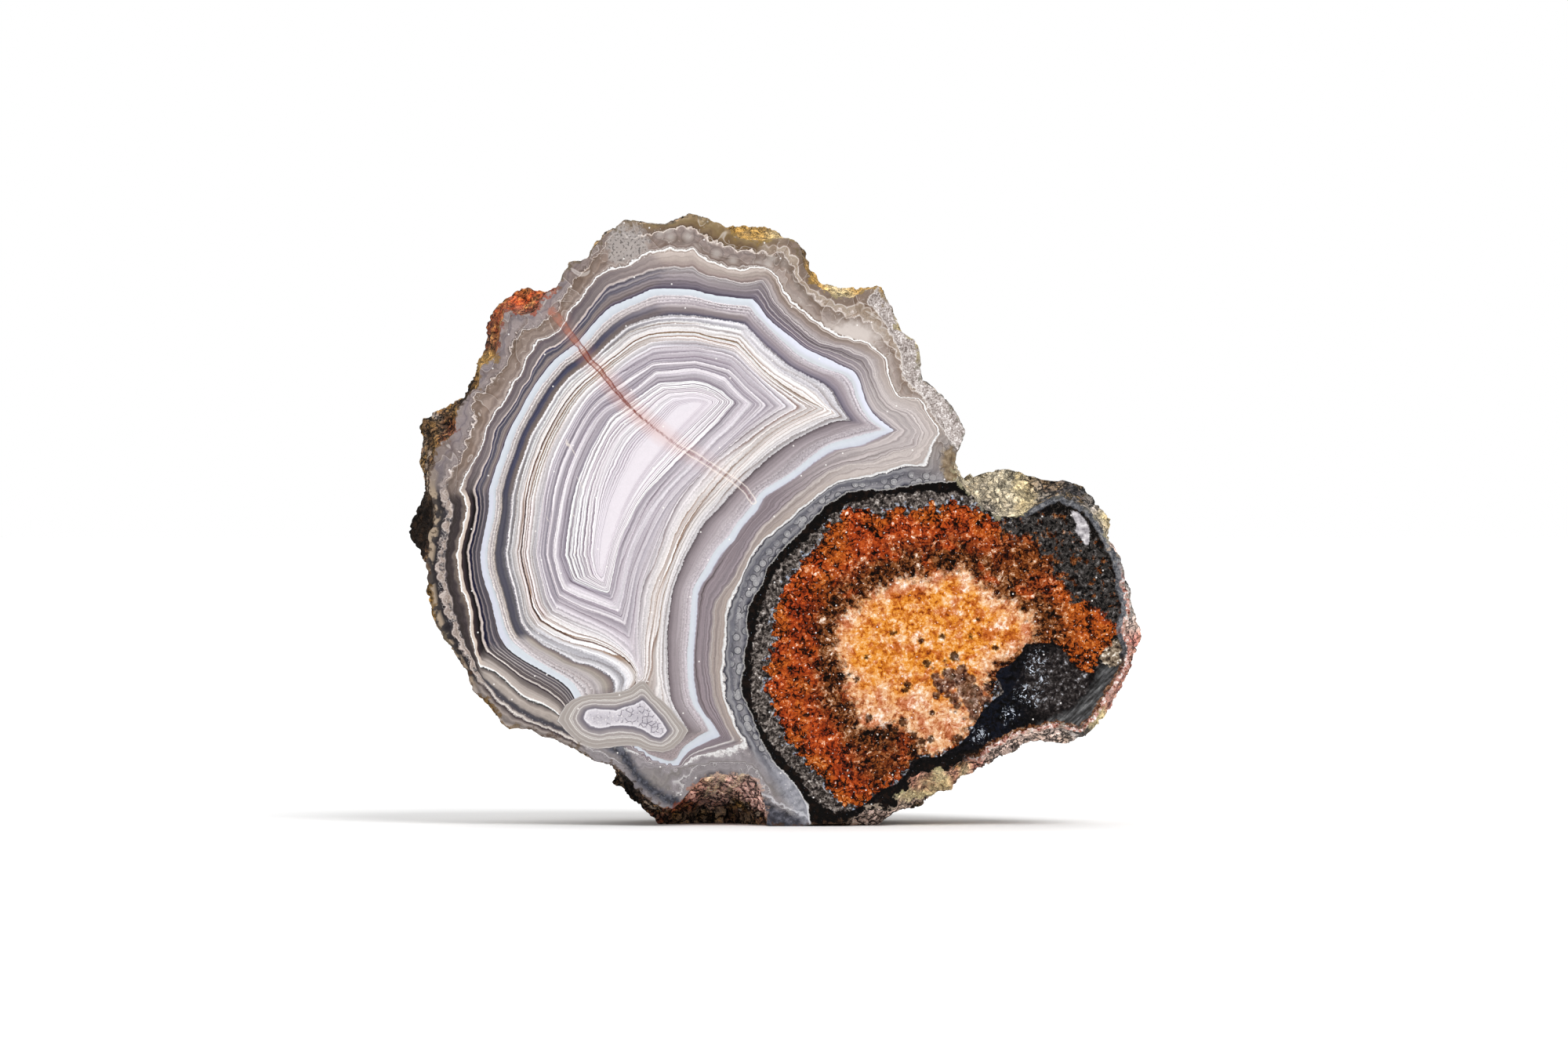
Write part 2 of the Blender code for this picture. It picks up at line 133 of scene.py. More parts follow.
# The banding of the main lobe, from its edge in to its heart. Each band is a closed line of nine sides
# between matching corners, clockwise: right tip, bottom tip, neck, lower left, left, left kink, top left,
# top right, upper right, and back to the right tip.
BANDS = {
    "edge": [
        [(1232, 555), (1222, 580), (1220, 600), (1218, 615), (1185, 616), (1162, 620), (1135, 624),
         (1100, 626), (1083, 628), (1056, 643), (1031, 669), (1003, 696), (980, 723), (973, 746),
         (956, 771), (952, 793), (955, 812), (950, 835), (950, 852), (944, 872), (947, 885), (955, 902),
         (962, 920), (970, 940), (980, 960), (990, 975), (1002, 987), (1015, 1000), (1025, 1017),
         (1031, 1027)],
        [(1034, 1058), (1010, 1058), (990, 1054), (975, 1040), (970, 1012), (964, 995), (950, 986),
         (920, 986), (892, 991), (880, 1012), (862, 1036), (840, 1034), (820, 1018), (800, 1000),
         (785, 984), (765, 976)],
        [(735, 962), (715, 954), (690, 944), (667, 934), (638, 928), (620, 907), (608, 892)],
        [(596, 876), (588, 857), (573, 834), (558, 813), (549, 790), (543, 770), (539, 745)],
        [(539, 722), (541, 700), (545, 675), (548, 655), (545, 635)],
        [(543, 610), (548, 590), (552, 568), (573, 553), (578, 530), (588, 510), (603, 493), (610, 463),
         (630, 448), (633, 420), (640, 388), (662, 398), (680, 395), (690, 373), (704, 363), (714, 347),
         (725, 329), (743, 326), (758, 301), (775, 288)],
        [(797, 274), (830, 280), (851, 280)],
        [(876, 267), (898, 271), (921, 281), (945, 297)],
        [(990, 301), (1015, 301), (1033, 322), (1037, 345), (1052, 366), (1086, 377), (1104, 360),
         (1121, 359), (1133, 371), (1144, 398), (1153, 420), (1170, 431), (1177, 450), (1179, 475),
         (1197, 494), (1217, 514), (1230, 538)],
    ],
    "druzy line": [
        [(1217, 562), (1205, 575), (1200, 592), (1200, 605), (1180, 607), (1160, 608), (1135, 614),
         (1105, 619), (1083, 620), (1062, 627), (1045, 640), (1028, 655), (1005, 680), (985, 700),
         (968, 722), (958, 745), (945, 765), (940, 785), (938, 810), (936, 840), (935, 870), (938, 895),
         (945, 915), (955, 935), (968, 955), (985, 980), (1003, 1000), (1012, 1018)],
        [(1020, 1040), (1000, 1035), (985, 1015), (978, 1000), (970, 985), (960, 975), (940, 972),
         (915, 972), (895, 975), (880, 985), (868, 1010), (855, 1020), (835, 1010), (820, 995), (805, 980),
         (785, 968), (765, 960)],
        [(745, 950), (720, 937), (700, 928), (673, 917), (647, 900), (630, 885)],
        [(617, 870), (605, 850), (590, 820), (580, 795), (573, 777), (568, 750)],
        [(563, 717), (568, 690), (572, 667), (575, 650)],
        [(567, 628), (570, 612), (580, 597), (592, 577), (596, 562), (602, 548), (607, 533), (600, 518),
         (603, 505), (615, 500), (628, 487), (640, 470), (650, 450), (660, 430), (672, 420), (690, 415),
         (700, 405), (712, 392), (722, 375), (735, 355), (750, 340), (763, 325), (777, 305), (790, 296),
         (810, 300)],
        [(827, 302), (843, 293), (867, 289)],
        [(883, 292), (900, 303), (917, 312), (940, 317)],
        [(967, 322), (985, 322), (1003, 325), (1011, 340), (1014, 352), (1022, 363), (1035, 375),
         (1050, 387), (1065, 396), (1080, 402), (1095, 405), (1108, 412), (1120, 425), (1132, 438),
         (1145, 455), (1150, 475), (1158, 492), (1170, 500), (1182, 510), (1195, 528), (1207, 545)],
    ],
    "white line": [
        [(1199, 553), (1192, 560), (1187, 572), (1184, 588), (1178, 594), (1160, 593), (1145, 597),
         (1130, 602), (1112, 607), (1100, 610), (1085, 611), (1067, 617), (1052, 626), (1037, 638),
         (1020, 651), (1005, 665), (990, 676), (975, 687), (962, 702), (952, 722), (945, 740), (935, 757),
         (928, 775), (926, 800), (924, 825), (922, 850), (921, 878), (927, 897), (935, 920)],
        [(950, 947), (935, 952), (915, 958), (895, 962), (880, 966), (870, 978), (862, 991), (850, 985),
         (835, 977), (815, 962), (790, 952), (760, 945), (735, 935)],
        [(713, 912), (705, 905), (690, 897), (670, 890), (655, 877), (640, 863), (625, 853)],
        [(612, 850), (607, 840), (605, 825), (600, 810), (600, 780), (595, 762), (588, 747), (585, 727)],
        [(583, 705), (588, 685), (592, 667), (596, 652), (595, 640)],
        [(587, 625), (592, 610), (598, 598), (607, 585), (614, 572), (617, 560), (620, 548), (627, 535),
         (632, 525), (642, 516), (650, 500), (655, 488), (665, 478), (668, 462), (678, 450), (683, 437),
         (700, 429), (714, 421), (720, 410), (726, 397), (740, 383), (752, 364), (765, 350), (775, 344),
         (790, 341), (800, 339), (812, 332)],
        [(825, 322), (840, 321), (852, 317), (868, 320)],
        [(884, 317), (893, 325), (905, 334), (920, 339), (935, 343), (950, 344), (965, 340)],
        [(982, 344), (991, 352), (996, 364), (1004, 378), (1016, 391), (1030, 401), (1042, 411),
         (1056, 420), (1070, 427), (1090, 434), (1106, 437), (1113, 443), (1122, 450), (1131, 457),
         (1133, 472), (1136, 487), (1143, 501), (1150, 508), (1162, 506), (1177, 511), (1181, 522),
         (1188, 534), (1196, 545)],
    ],
    "fawn line": [
        [(1178, 553), (1172, 570), (1155, 573), (1140, 578), (1120, 587), (1107, 592), (1085, 592),
         (1068, 597), (1050, 606), (1030, 622), (1010, 638), (992, 655), (977, 668), (966, 680), (956, 700),
         (944, 722), (935, 740), (920, 757), (912, 770), (910, 785), (908, 805), (906, 830), (905, 850),
         (908, 870), (910, 888), (916, 905), (925, 925)],
        [(935, 944), (918, 949), (900, 954), (885, 960), (873, 970), (861, 987), (848, 980), (835, 974),
         (815, 955), (790, 940), (760, 930), (740, 915)],
        [(722, 902), (716, 894), (703, 883), (687, 873), (667, 863), (650, 850), (633, 838)],
        [(620, 828), (615, 810), (614, 793), (609, 770), (602, 750), (600, 733)],
        [(597, 705), (600, 690), (605, 672), (608, 655), (608, 640)],
        [(604, 622), (611, 608), (618, 592), (625, 577), (627, 562), (631, 548), (640, 534), (650, 522),
         (659, 510), (665, 495), (675, 485), (680, 470), (690, 455), (697, 445), (712, 440), (725, 427),
         (738, 412), (750, 397), (762, 380), (775, 365), (790, 359), (812, 351), (830, 344)],
        [(845, 341), (865, 341)],
        [(884, 342), (900, 351), (925, 356), (950, 361)],
        [(972, 358), (979, 364), (982, 374), (990, 387), (1000, 399), (1014, 411), (1028, 424), (1040, 433),
         (1058, 440), (1075, 443), (1090, 450), (1106, 457), (1112, 468), (1116, 482), (1122, 496),
         (1130, 509), (1142, 521), (1155, 524), (1167, 532)],
    ],
    "blue band": [
        [(1140, 549), (1127, 554), (1113, 561), (1098, 568), (1080, 571), (1065, 573), (1050, 581),
         (1035, 592), (1020, 604), (1005, 615), (990, 624), (972, 636), (966, 650), (954, 663), (944, 676),
         (936, 690), (925, 700), (914, 716), (906, 731), (896, 743), (890, 756), (889, 775), (887, 800),
         (885, 825), (884, 850), (886, 875), (890, 895), (897, 910), (908, 922)],
        [(919, 939), (905, 945), (890, 952), (879, 958), (870, 968), (860, 983), (848, 976), (833, 972),
         (820, 967), (805, 950), (780, 930), (750, 910)],
        [(734, 893), (730, 885), (724, 876), (711, 866), (688, 853), (668, 842), (655, 833)],
        [(646, 825), (637, 810), (631, 785), (626, 764), (619, 744), (614, 725)],
        [(613, 705), (616, 690), (620, 670), (623, 655), (624, 640)],
        [(624, 627), (632, 600), (641, 575), (650, 550), (662, 528), (677, 500), (692, 478), (707, 460),
         (722, 448), (737, 437), (748, 424), (762, 408), (778, 393), (795, 385), (812, 378)],
        [(828, 371), (843, 369), (865, 369)],
        [(888, 371), (905, 376), (925, 379), (945, 381)],
        [(961, 382), (968, 391), (980, 407), (994, 419), (1010, 431), (1025, 443), (1043, 452), (1060, 460),
         (1076, 468), (1090, 475), (1096, 486), (1100, 501), (1106, 516), (1116, 531), (1128, 541)],
    ],
    "blue band inside": [
        [(1128, 548), (1112, 552), (1095, 556), (1078, 560), (1062, 565), (1047, 573), (1032, 585),
         (1017, 597), (1003, 607), (988, 616), (972, 627), (962, 641), (952, 654), (940, 668), (931, 682),
         (920, 693), (909, 707), (901, 722), (892, 736), (885, 750), (882, 770), (880, 800), (877, 830),
         (877, 855), (879, 880), (884, 898), (893, 912)],
        [(905, 932), (893, 938), (882, 946), (873, 953), (865, 966), (858, 972), (840, 967), (827, 962),
         (810, 945), (785, 925), (755, 905)],
        [(741, 888), (737, 880), (728, 869), (713, 859), (694, 848), (675, 836), (662, 826)],
        [(652, 817), (645, 804), (639, 783), (633, 762), (627, 743), (622, 725)],
        [(621, 705), (623, 690), (628, 670), (631, 655), (632, 640)],
        [(632, 627), (640, 600), (649, 575), (658, 550), (669, 529), (685, 500), (700, 480), (716, 462),
         (728, 453), (743, 442), (755, 429), (768, 414), (783, 401), (800, 392), (816, 385)],
        [(832, 378), (845, 376), (865, 376)],
        [(887, 378), (903, 383), (923, 387), (942, 389)],
        [(957, 391), (965, 402), (977, 414), (991, 428), (1006, 442), (1020, 454), (1038, 464), (1057, 472),
         (1076, 477), (1087, 488), (1092, 505), (1100, 523), (1112, 538)],
    ],
    "core": [
        [(1085, 537), (1066, 537), (1047, 544), (1030, 552), (1015, 560), (1000, 569), (985, 580),
         (966, 597), (947, 615), (932, 631), (915, 650), (900, 665), (889, 681), (881, 697), (872, 715),
         (863, 738), (857, 757), (854, 780), (851, 805), (851, 830), (852, 855), (854, 880), (857, 898),
         (866, 914)],
        [(879, 932), (860, 945), (830, 950), (800, 940), (790, 915)],
        [(783, 880), (782, 868), (770, 857), (753, 849), (733, 844), (713, 833), (693, 823)],
        [(678, 811), (666, 795), (660, 770), (655, 748), (649, 727)],
        [(645, 705), (648, 690), (650, 670), (652, 650)],
        [(653, 632), (660, 605), (669, 580), (678, 555), (690, 535), (703, 513), (716, 493), (730, 478),
         (747, 466), (762, 452), (776, 438), (790, 426), (803, 415), (820, 409)],
        [(838, 404), (860, 402)],
        [(888, 403), (905, 406), (928, 410)],
        [(950, 414), (961, 425), (976, 440), (991, 453), (1006, 466), (1020, 474), (1035, 482), (1050, 490),
         (1060, 497), (1066, 507), (1073, 520)],
    ],
    "brown line": [
        [(1052, 521), (1040, 527), (1022, 535), (1003, 545), (985, 557), (968, 571), (952, 587), (937, 603),
         (925, 616), (908, 634), (893, 650), (882, 664), (873, 680), (864, 698), (857, 716), (849, 736),
         (843, 756), (839, 780), (836, 800), (833, 820), (832, 840), (831, 855)],
        [(824, 872), (815, 878)],
        [(808, 876), (813, 866), (811, 855), (802, 843), (790, 834), (772, 825), (752, 818), (733, 814),
         (710, 803)],
        [(690, 791), (680, 775), (674, 750), (668, 727)],
        [(664, 705), (666, 690), (668, 672), (670, 652)],
        [(671, 635), (677, 610), (685, 585), (694, 562), (705, 541), (717, 520), (729, 503), (742, 489),
         (757, 477), (772, 463), (785, 454), (800, 442), (812, 434)],
        [(828, 427), (850, 424)],
        [(885, 424), (905, 429), (925, 433)],
        [(940, 437), (952, 449), (965, 463), (978, 476), (992, 487), (1008, 498), (1025, 508), (1040, 516)],
    ],
    "lilac zone": [
        [(1003, 519), (987, 527), (967, 540), (947, 555), (928, 572), (908, 590), (892, 607), (874, 627),
         (862, 645), (853, 662), (845, 680), (837, 700), (829, 722), (822, 742), (817, 762), (815, 785),
         (814, 805), (815, 830)],
        [(818, 858), (817, 862)],
        [(815, 862), (811, 848), (802, 837), (787, 822), (768, 809), (748, 800), (728, 791)],
        [(706, 780), (697, 765), (691, 745), (686, 722)],
        [(683, 705), (685, 690), (687, 670), (690, 650)],
        [(692, 635), (698, 610), (706, 585), (716, 562), (727, 542), (738, 523), (750, 506), (765, 492),
         (780, 480), (795, 467), (812, 455)],
        [(833, 444), (850, 442)],
        [(888, 442), (905, 446), (922, 450)],
        [(936, 455), (948, 465), (962, 479), (975, 492), (988, 505)],
    ],
    "second ring": [
        [(976, 517), (965, 528), (950, 542), (935, 557), (920, 572), (905, 587), (892, 601), (877, 615),
         (862, 631), (850, 646), (840, 662), (831, 680), (823, 697), (816, 715), (810, 735), (806, 755),
         (802, 775)],
        [(798, 797), (798, 797)],
        [(798, 797), (790, 792), (765, 783), (745, 777), (728, 769)],
        [(712, 760), (706, 742), (701, 725)],
        [(697, 708), (698, 690), (701, 668), (704, 648)],
        [(706, 633), (711, 612), (718, 590), (728, 567), (738, 547), (748, 530), (760, 514), (775, 502),
         (790, 492), (806, 480)],
        [(832, 464), (850, 462)],
        [(888, 461), (908, 466)],
        [(930, 472), (940, 481), (952, 494), (965, 506)],
    ],
    "first ring": [
        [(959, 515), (950, 526), (936, 542), (920, 557), (905, 572), (892, 587), (880, 600), (867, 612),
         (853, 627), (841, 642), (831, 657), (822, 674), (814, 690), (807, 707), (802, 725), (798, 743),
         (795, 760)],
        [(789, 780), (789, 780)],
        [(789, 780), (775, 775), (757, 768), (738, 761)],
        [(719, 752), (713, 738), (709, 722)],
        [(706, 709), (707, 690), (711, 668), (714, 648)],
        [(717, 633), (722, 612), (731, 588), (741, 566), (751, 548), (762, 532), (775, 520), (790, 512),
         (803, 502), (818, 490)],
        [(836, 474), (855, 473)],
        [(885, 470), (905, 475)],
        [(924, 482), (935, 494), (947, 506)],
    ],
    "heart": [
        [(936, 513), (926, 524), (912, 541), (897, 556), (882, 571), (868, 583), (855, 596), (842, 609),
         (829, 622), (817, 637), (808, 652), (801, 667), (793, 684), (788, 700), (784, 718), (780, 738)],
        [(776, 756), (776, 756)],
        [(776, 756), (762, 752), (747, 746)],
        [(731, 739), (726, 725)],
        [(720, 708), (723, 685), (726, 665), (729, 648)],
        [(732, 633), (738, 612), (746, 592), (756, 570), (767, 550), (779, 531), (790, 524), (800, 517),
         (815, 506), (828, 497)],
        [(841, 489), (860, 488)],
        [(886, 486), (903, 490)],
        [(920, 499), (927, 506)],
    ],
    "inner heart": [
        [(915, 512), (905, 522), (890, 537), (875, 552), (860, 567), (845, 583), (830, 600), (817, 617),
         (806, 635), (797, 652), (789, 670), (782, 688), (777, 706), (773, 724)],
        [(769, 742), (769, 742)],
        [(769, 742), (765, 739)],
        [(760, 733), (757, 722)],
        [(754, 708), (756, 690), (758, 670), (760, 650)],
        [(762, 633), (767, 615), (774, 595), (783, 575), (793, 558), (805, 546), (818, 537), (830, 525),
         (842, 513)],
        [(856, 505), (870, 504)],
        [(885, 503), (897, 505)],
        [(905, 507), (910, 509)],
    ],
    "middle": [
        [(893, 515), (870, 538), (850, 560), (830, 585), (812, 610), (798, 635), (788, 660), (780, 685),
         (773, 708)],
        [(768, 725), (768, 725)],
        [(768, 725), (767, 724)],
        [(766, 722), (767, 714)],
        [(768, 705), (772, 680), (778, 658)],
        [(784, 640), (797, 615), (810, 590), (825, 568), (842, 548), (858, 530)],
        [(868, 520), (873, 518)],
        [(878, 516), (881, 515)],
        [(885, 514), (889, 514)],
    ],
}

# Places inside closed lines on the face: the mossy side lobe and what lies in it, what lies along the main
# lobe's edge, and the grey pocket with its quartz heart low in the main lobe.
REGIONS = {
    "moss": [
        (1230, 600), *BANDS["edge"][0][3:], (1036, 1065), (1200, 1060), (1480, 980), (1500, 640),
        (1300, 580),
    ],
    "black_rim_inside": [
        (1240, 637), (1222, 632), (1200, 630), (1180, 629), (1160, 632), (1140, 633), (1120, 633),
        (1105, 640), (1085, 645), (1062, 660), (1048, 675), (1030, 690), (1015, 703), (1000, 718),
        (990, 735), (981, 755), (970, 780), (967, 800), (964, 820), (960, 840), (961, 855), (959, 875),
        (961, 890), (966, 905), (971, 922), (980, 935), (990, 952), (1000, 965), (1010, 975), (1025, 992),
        (1033, 1007), (1042, 1020), (1070, 1034), (1095, 1034), (1108, 1024), (1122, 1011), (1137, 1003),
        (1157, 992), (1164, 978), (1178, 967), (1200, 969), (1222, 960), (1245, 952), (1300, 940),
        (1370, 936), (1412, 890), (1434, 850), (1430, 800), (1428, 760), (1422, 727), (1414, 700),
        (1385, 660), (1345, 640), (1290, 664), (1262, 660),
    ],
    "orange": [
        (1268, 662), (1252, 652), (1239, 646), (1229, 643), (1214, 641), (1206, 645), (1198, 653),
        (1190, 640), (1183, 650), (1177, 652), (1172, 650), (1164, 647), (1157, 655), (1152, 651),
        (1147, 642), (1142, 650), (1132, 652), (1124, 660), (1114, 655), (1106, 650), (1098, 652),
        (1090, 651), (1081, 647), (1076, 655), (1067, 668), (1053, 670), (1052, 686), (1043, 698),
        (1028, 708), (1018, 724), (1010, 738), (1000, 750), (996, 766), (986, 790), (990, 817), (984, 835),
        (977, 852), (981, 868), (976, 884), (987, 892), (990, 910), (1000, 925), (1001, 942), (1012, 952),
        (1022, 965), (1034, 977), (1047, 987), (1053, 1003), (1066, 1012), (1072, 1022), (1085, 1030),
        (1097, 1028), (1112, 1018), (1124, 1006), (1140, 1000), (1155, 985), (1160, 972), (1176, 963),
        (1193, 965), (1225, 950), (1237, 935), (1262, 898), (1275, 862), (1297, 843), (1310, 825),
        (1345, 818), (1360, 832), (1373, 852), (1390, 858), (1402, 840), (1414, 828), (1428, 805),
        (1430, 770), (1420, 730), (1400, 690), (1360, 655), (1310, 658), (1290, 668),
    ],
    "yellow": [
        (1069, 812), (1073, 792), (1093, 772), (1116, 759), (1132, 742), (1159, 734), (1180, 740),
        (1196, 732), (1222, 726), (1242, 736), (1258, 752), (1277, 764), (1295, 772), (1313, 784),
        (1320, 803), (1318, 817), (1303, 826), (1285, 838), (1268, 845), (1262, 858), (1258, 880),
        (1250, 900), (1240, 920), (1232, 932), (1222, 945), (1205, 955), (1190, 962), (1179, 958),
        (1176, 943), (1165, 935), (1150, 930), (1135, 922), (1120, 930), (1104, 924), (1096, 908),
        (1086, 893), (1078, 880), (1082, 860), (1073, 845), (1069, 832),
    ],
    "charcoal": [
        (1274, 664), (1285, 655), (1311, 645), (1341, 632), (1385, 655), (1415, 690), (1432, 726),
        (1440, 766), (1440, 800), (1424, 800), (1408, 790), (1396, 776), (1384, 768), (1370, 772),
        (1362, 756), (1357, 742), (1345, 728), (1338, 712), (1325, 706), (1330, 695), (1318, 688),
        (1305, 683), (1295, 692), (1284, 683),
    ],
    "jet": [
        (1269, 862), (1276, 852), (1290, 847), (1300, 835), (1310, 826), (1325, 820), (1345, 820),
        (1354, 826), (1362, 838), (1370, 852), (1382, 858), (1394, 858), (1408, 850), (1430, 850),
        (1440, 862), (1420, 900), (1395, 940), (1345, 930), (1300, 950), (1262, 975), (1215, 985),
        (1165, 1000), (1125, 1040), (1070, 1040), (1100, 1028), (1125, 1006), (1142, 1001), (1157, 985),
        (1163, 971), (1178, 965), (1196, 966), (1212, 957), (1226, 948), (1238, 934), (1247, 917),
        (1257, 903), (1268, 892), (1280, 884), (1276, 872),
    ],
    "smoke": [
        (1397, 850), (1412, 846), (1430, 845), (1443, 830), (1450, 850), (1425, 900), (1395, 945),
        (1350, 945), (1310, 945), (1325, 922), (1350, 910), (1370, 900), (1385, 885), (1395, 868),
    ],
    "tan": [(1402, 838), (1412, 826), (1422, 815), (1430, 822), (1430, 848), (1420, 852), (1406, 846)],
    "grapes": [
        (1196, 852), (1205, 846), (1222, 846), (1235, 852), (1245, 870), (1262, 880), (1258, 902),
        (1246, 920), (1236, 915), (1228, 908), (1218, 900), (1210, 885), (1198, 890), (1188, 884),
        (1190, 868),
    ],
    "crystals": [
        (1105, 384), (1116, 372), (1122, 356), (1134, 360), (1146, 392), (1166, 426), (1180, 436),
        (1184, 478), (1196, 488), (1220, 516), (1240, 550), (1234, 576), (1221, 573), (1204, 549),
        (1192, 532), (1177, 506), (1166, 496), (1152, 480), (1150, 452), (1140, 432), (1130, 414),
        (1119, 398),
    ],
    "ink": [
        (762, 946), (778, 948), (796, 950), (806, 964), (816, 984), (834, 1000), (852, 1012), (866, 1014),
        (872, 1024), (862, 1032), (846, 1026), (828, 1014), (812, 1000), (800, 984), (788, 966), (774, 956),
    ],
    "amber": [
        (1202, 574), (1216, 566), (1226, 588), (1232, 610), (1246, 634), (1236, 644), (1219, 626),
        (1206, 616), (1199, 598),
    ],
    "shard": [
        (1366, 651), (1376, 654), (1383, 662), (1389, 672), (1390, 690), (1385, 698), (1379, 686),
        (1371, 678), (1374, 668), (1368, 660),
    ],
    "pocket": [
        (710, 920), (713, 911), (720, 900), (728, 893), (740, 888), (755, 885), (772, 884), (790, 882),
        (803, 878), (812, 871), (822, 867), (829, 877), (836, 887), (845, 893), (855, 903), (866, 917),
        (880, 932), (870, 945), (858, 956), (846, 960), (830, 959), (814, 953), (800, 951), (780, 954),
        (762, 956), (748, 953), (735, 945), (720, 932),
    ],
    "quartz": [
        (748, 907), (758, 904), (772, 905), (786, 907), (797, 902), (808, 899), (820, 893), (828, 901),
        (838, 913), (845, 922), (851, 932), (842, 941), (833, 939), (822, 931), (810, 926), (795, 924),
        (780, 926), (766, 929), (754, 925), (745, 917),
    ],
}

# The healed crack across the bands, from its strong start to its faint end.
CRACK = [
    (704, 397), (715, 410), (730, 430), (740, 442), (752, 460), (765, 472), (782, 494), (800, 515),
    (817, 532), (840, 550), (862, 567), (898, 588), (927, 607), (945, 619), (953, 628), (961, 640),
]

# By the share of the way along it: how far each of its two lines is from its middle in millimetres, how
# strong the blush round them is, and how dark they are.
CRACK_SPLIT = [(0.0, 0.5), (0.1, 0.36), (0.2, 0.24), (0.34, 0.2), (0.42, 0.1), (0.5, 0.0), (1.0, 0.0)]
CRACK_BLUSH = [(0.0, 0.1), (0.2, 0.2), (0.4, 0.35), (0.55, 0.45), (0.66, 0.3), (0.8, 0.05), (1.0, 0.0)]
CRACK_DARK = [
    (0.0, 0.0), (0.06, 0.3), (0.14, 0.35), (0.2, 1.0), (0.5, 0.9), (0.62, 0.5), (0.7, 0.35), (0.9, 0.3),
    (1.0, 0.6),
]

# Hairline scratches on the polish, each from end to end.
SCRATCHES = [
    ((1128, 745), (1160, 772)), ((1160, 777), (1190, 800)), ((1222, 762), (1250, 798)),
    ((1222, 742), (1252, 758)), ((1108, 983), (1142, 968)), ((1100, 946), (1122, 942)),
    ((1248, 890), (1230, 925)), ((1252, 874), (1288, 902)), ((1316, 846), (1338, 872)),
    ((1340, 742), (1362, 760)), ((722, 560), (736, 583)), ((712, 557), (730, 574)),
    ((728, 640), (733, 664)), ((736, 608), (745, 625)), ((695, 652), (700, 668)), ((735, 700), (731, 720)),
]

# What colours the crust: patches as (x, y, reach, colour), in the photograph's pixels.
# The soot patches on the left, along the bottom and in the recess are partly painted shade.
CRUST_PATCHES = [
    (940, 290, 14, "ochre"), (965, 290, 22, "ochre"), (990, 293, 12, "pale ochre"),
    (1045, 362, 14, "ochre"), (1075, 372, 20, "pale ochre"), (1098, 368, 14, "ochre"),
    (1160, 430, 14, "pale ochre"), (1190, 500, 16, "ash"), (1232, 560, 16, "ash"), (655, 378, 22, "red"),
    (680, 382, 14, "red"), (634, 392, 14, "rust"), (620, 425, 16, "rust"), (612, 465, 14, "ochre"),
    (603, 490, 10, "dark ochre"), (590, 503, 10, "soot and painted shade"), (560, 525, 16, "dark ochre"),
    (537, 540, 7, "ash"), (565, 548, 12, "rust"), (543, 560, 16, "dark ochre"), (538, 600, 16, "umber"),
    (528, 640, 18, "soot and painted shade"), (530, 680, 24, "soot and painted shade"), (544, 760, 14, "dark ochre"), (548, 720, 12, "umber"),
    (600, 875, 16, "umber"), (615, 900, 14, "dark ochre"), (632, 918, 12, "dark ochre"),
    (700, 942, 16, "umber"), (775, 985, 16, "umber"), (800, 1010, 20, "soot and painted shade"), (830, 1030, 20, "umber"),
    # The recess and foot tints are painted light: brighter colours that lift the shade falling there.
    (860, 1036, 14, "rust"), (890, 1008, 14, "recess brown with painted light"), (922, 1008, 26, "recess rose with painted light"),
    (950, 1006, 22, "recess rose with painted light"), (900, 1028, 14, "recess rose with painted light"), (912, 1022, 10, "foot rose with painted light"),
    (950, 1030, 12, "recess brown with painted light"), (968, 1030, 12, "recess rose with painted light"), (922, 992, 5, "foot tuff with painted light"),
    (945, 988, 5, "foot tuff with painted light"), (905, 994, 5, "foot tuff with painted light"), (950, 1018, 6, "soot and painted shade"),
    (1000, 1056, 20, "umber"), (1060, 1052, 20, "umber"), (1110, 1041, 14, "pale rose"),
    (1140, 1030, 12, "pale rose"), (1152, 1012, 10, "foot tuff with painted light"), (1166, 1000, 8, "foot rose with painted light"),
    (1180, 1003, 9, "foot tuff with painted light"), (1178, 988, 7, "foot rose with painted light"), (1200, 996, 10, "foot tuff with painted light"),
    (1215, 990, 8, "foot rose with painted light"), (1230, 984, 8, "foot tuff with painted light"), (1204, 1008, 8, "rust"),
    (1188, 1014, 9, "foot rose with painted light"), (1166, 1020, 8, "foot tuff with painted light"), (1222, 975, 7, "rust"),
    (1245, 980, 12, "rose"), (1270, 965, 14, "pale rose"), (1300, 950, 16, "pale rose"),
    (1330, 941, 16, "pale rose"), (1355, 946, 14, "ash"), (1385, 940, 12, "slate"),
    (1400, 920, 12, "pale ochre"), (1425, 890, 12, "rose"), (1440, 860, 12, "rose"),
    (1450, 820, 12, "rose"), (1455, 800, 10, "pale rose"), (1445, 770, 12, "ash"), (1437, 735, 12, "ash"),
    (1432, 715, 10, "ash"), (1425, 700, 10, "pale rose"), (1240, 618, 16, "tuff"), (1262, 626, 18, "tuff"),
    (1285, 624, 20, "tuff"), (1304, 610, 14, "tuff"), (1280, 606, 12, "tuff"),
    (1305, 640, 10, "pale ochre"), (1258, 648, 8, "ash"), (1320, 618, 16, "slate"),
    (1330, 632, 14, "slate"), (1345, 622, 8, "tuff"), (1362, 622, 14, "slate"), (1380, 636, 10, "slate"),
    (1390, 628, 8, "tuff"), (1400, 645, 10, "ash"), (1412, 660, 12, "pale ochre"), (1408, 678, 10, "tuff"),
    (1400, 668, 8, "ash"),
]

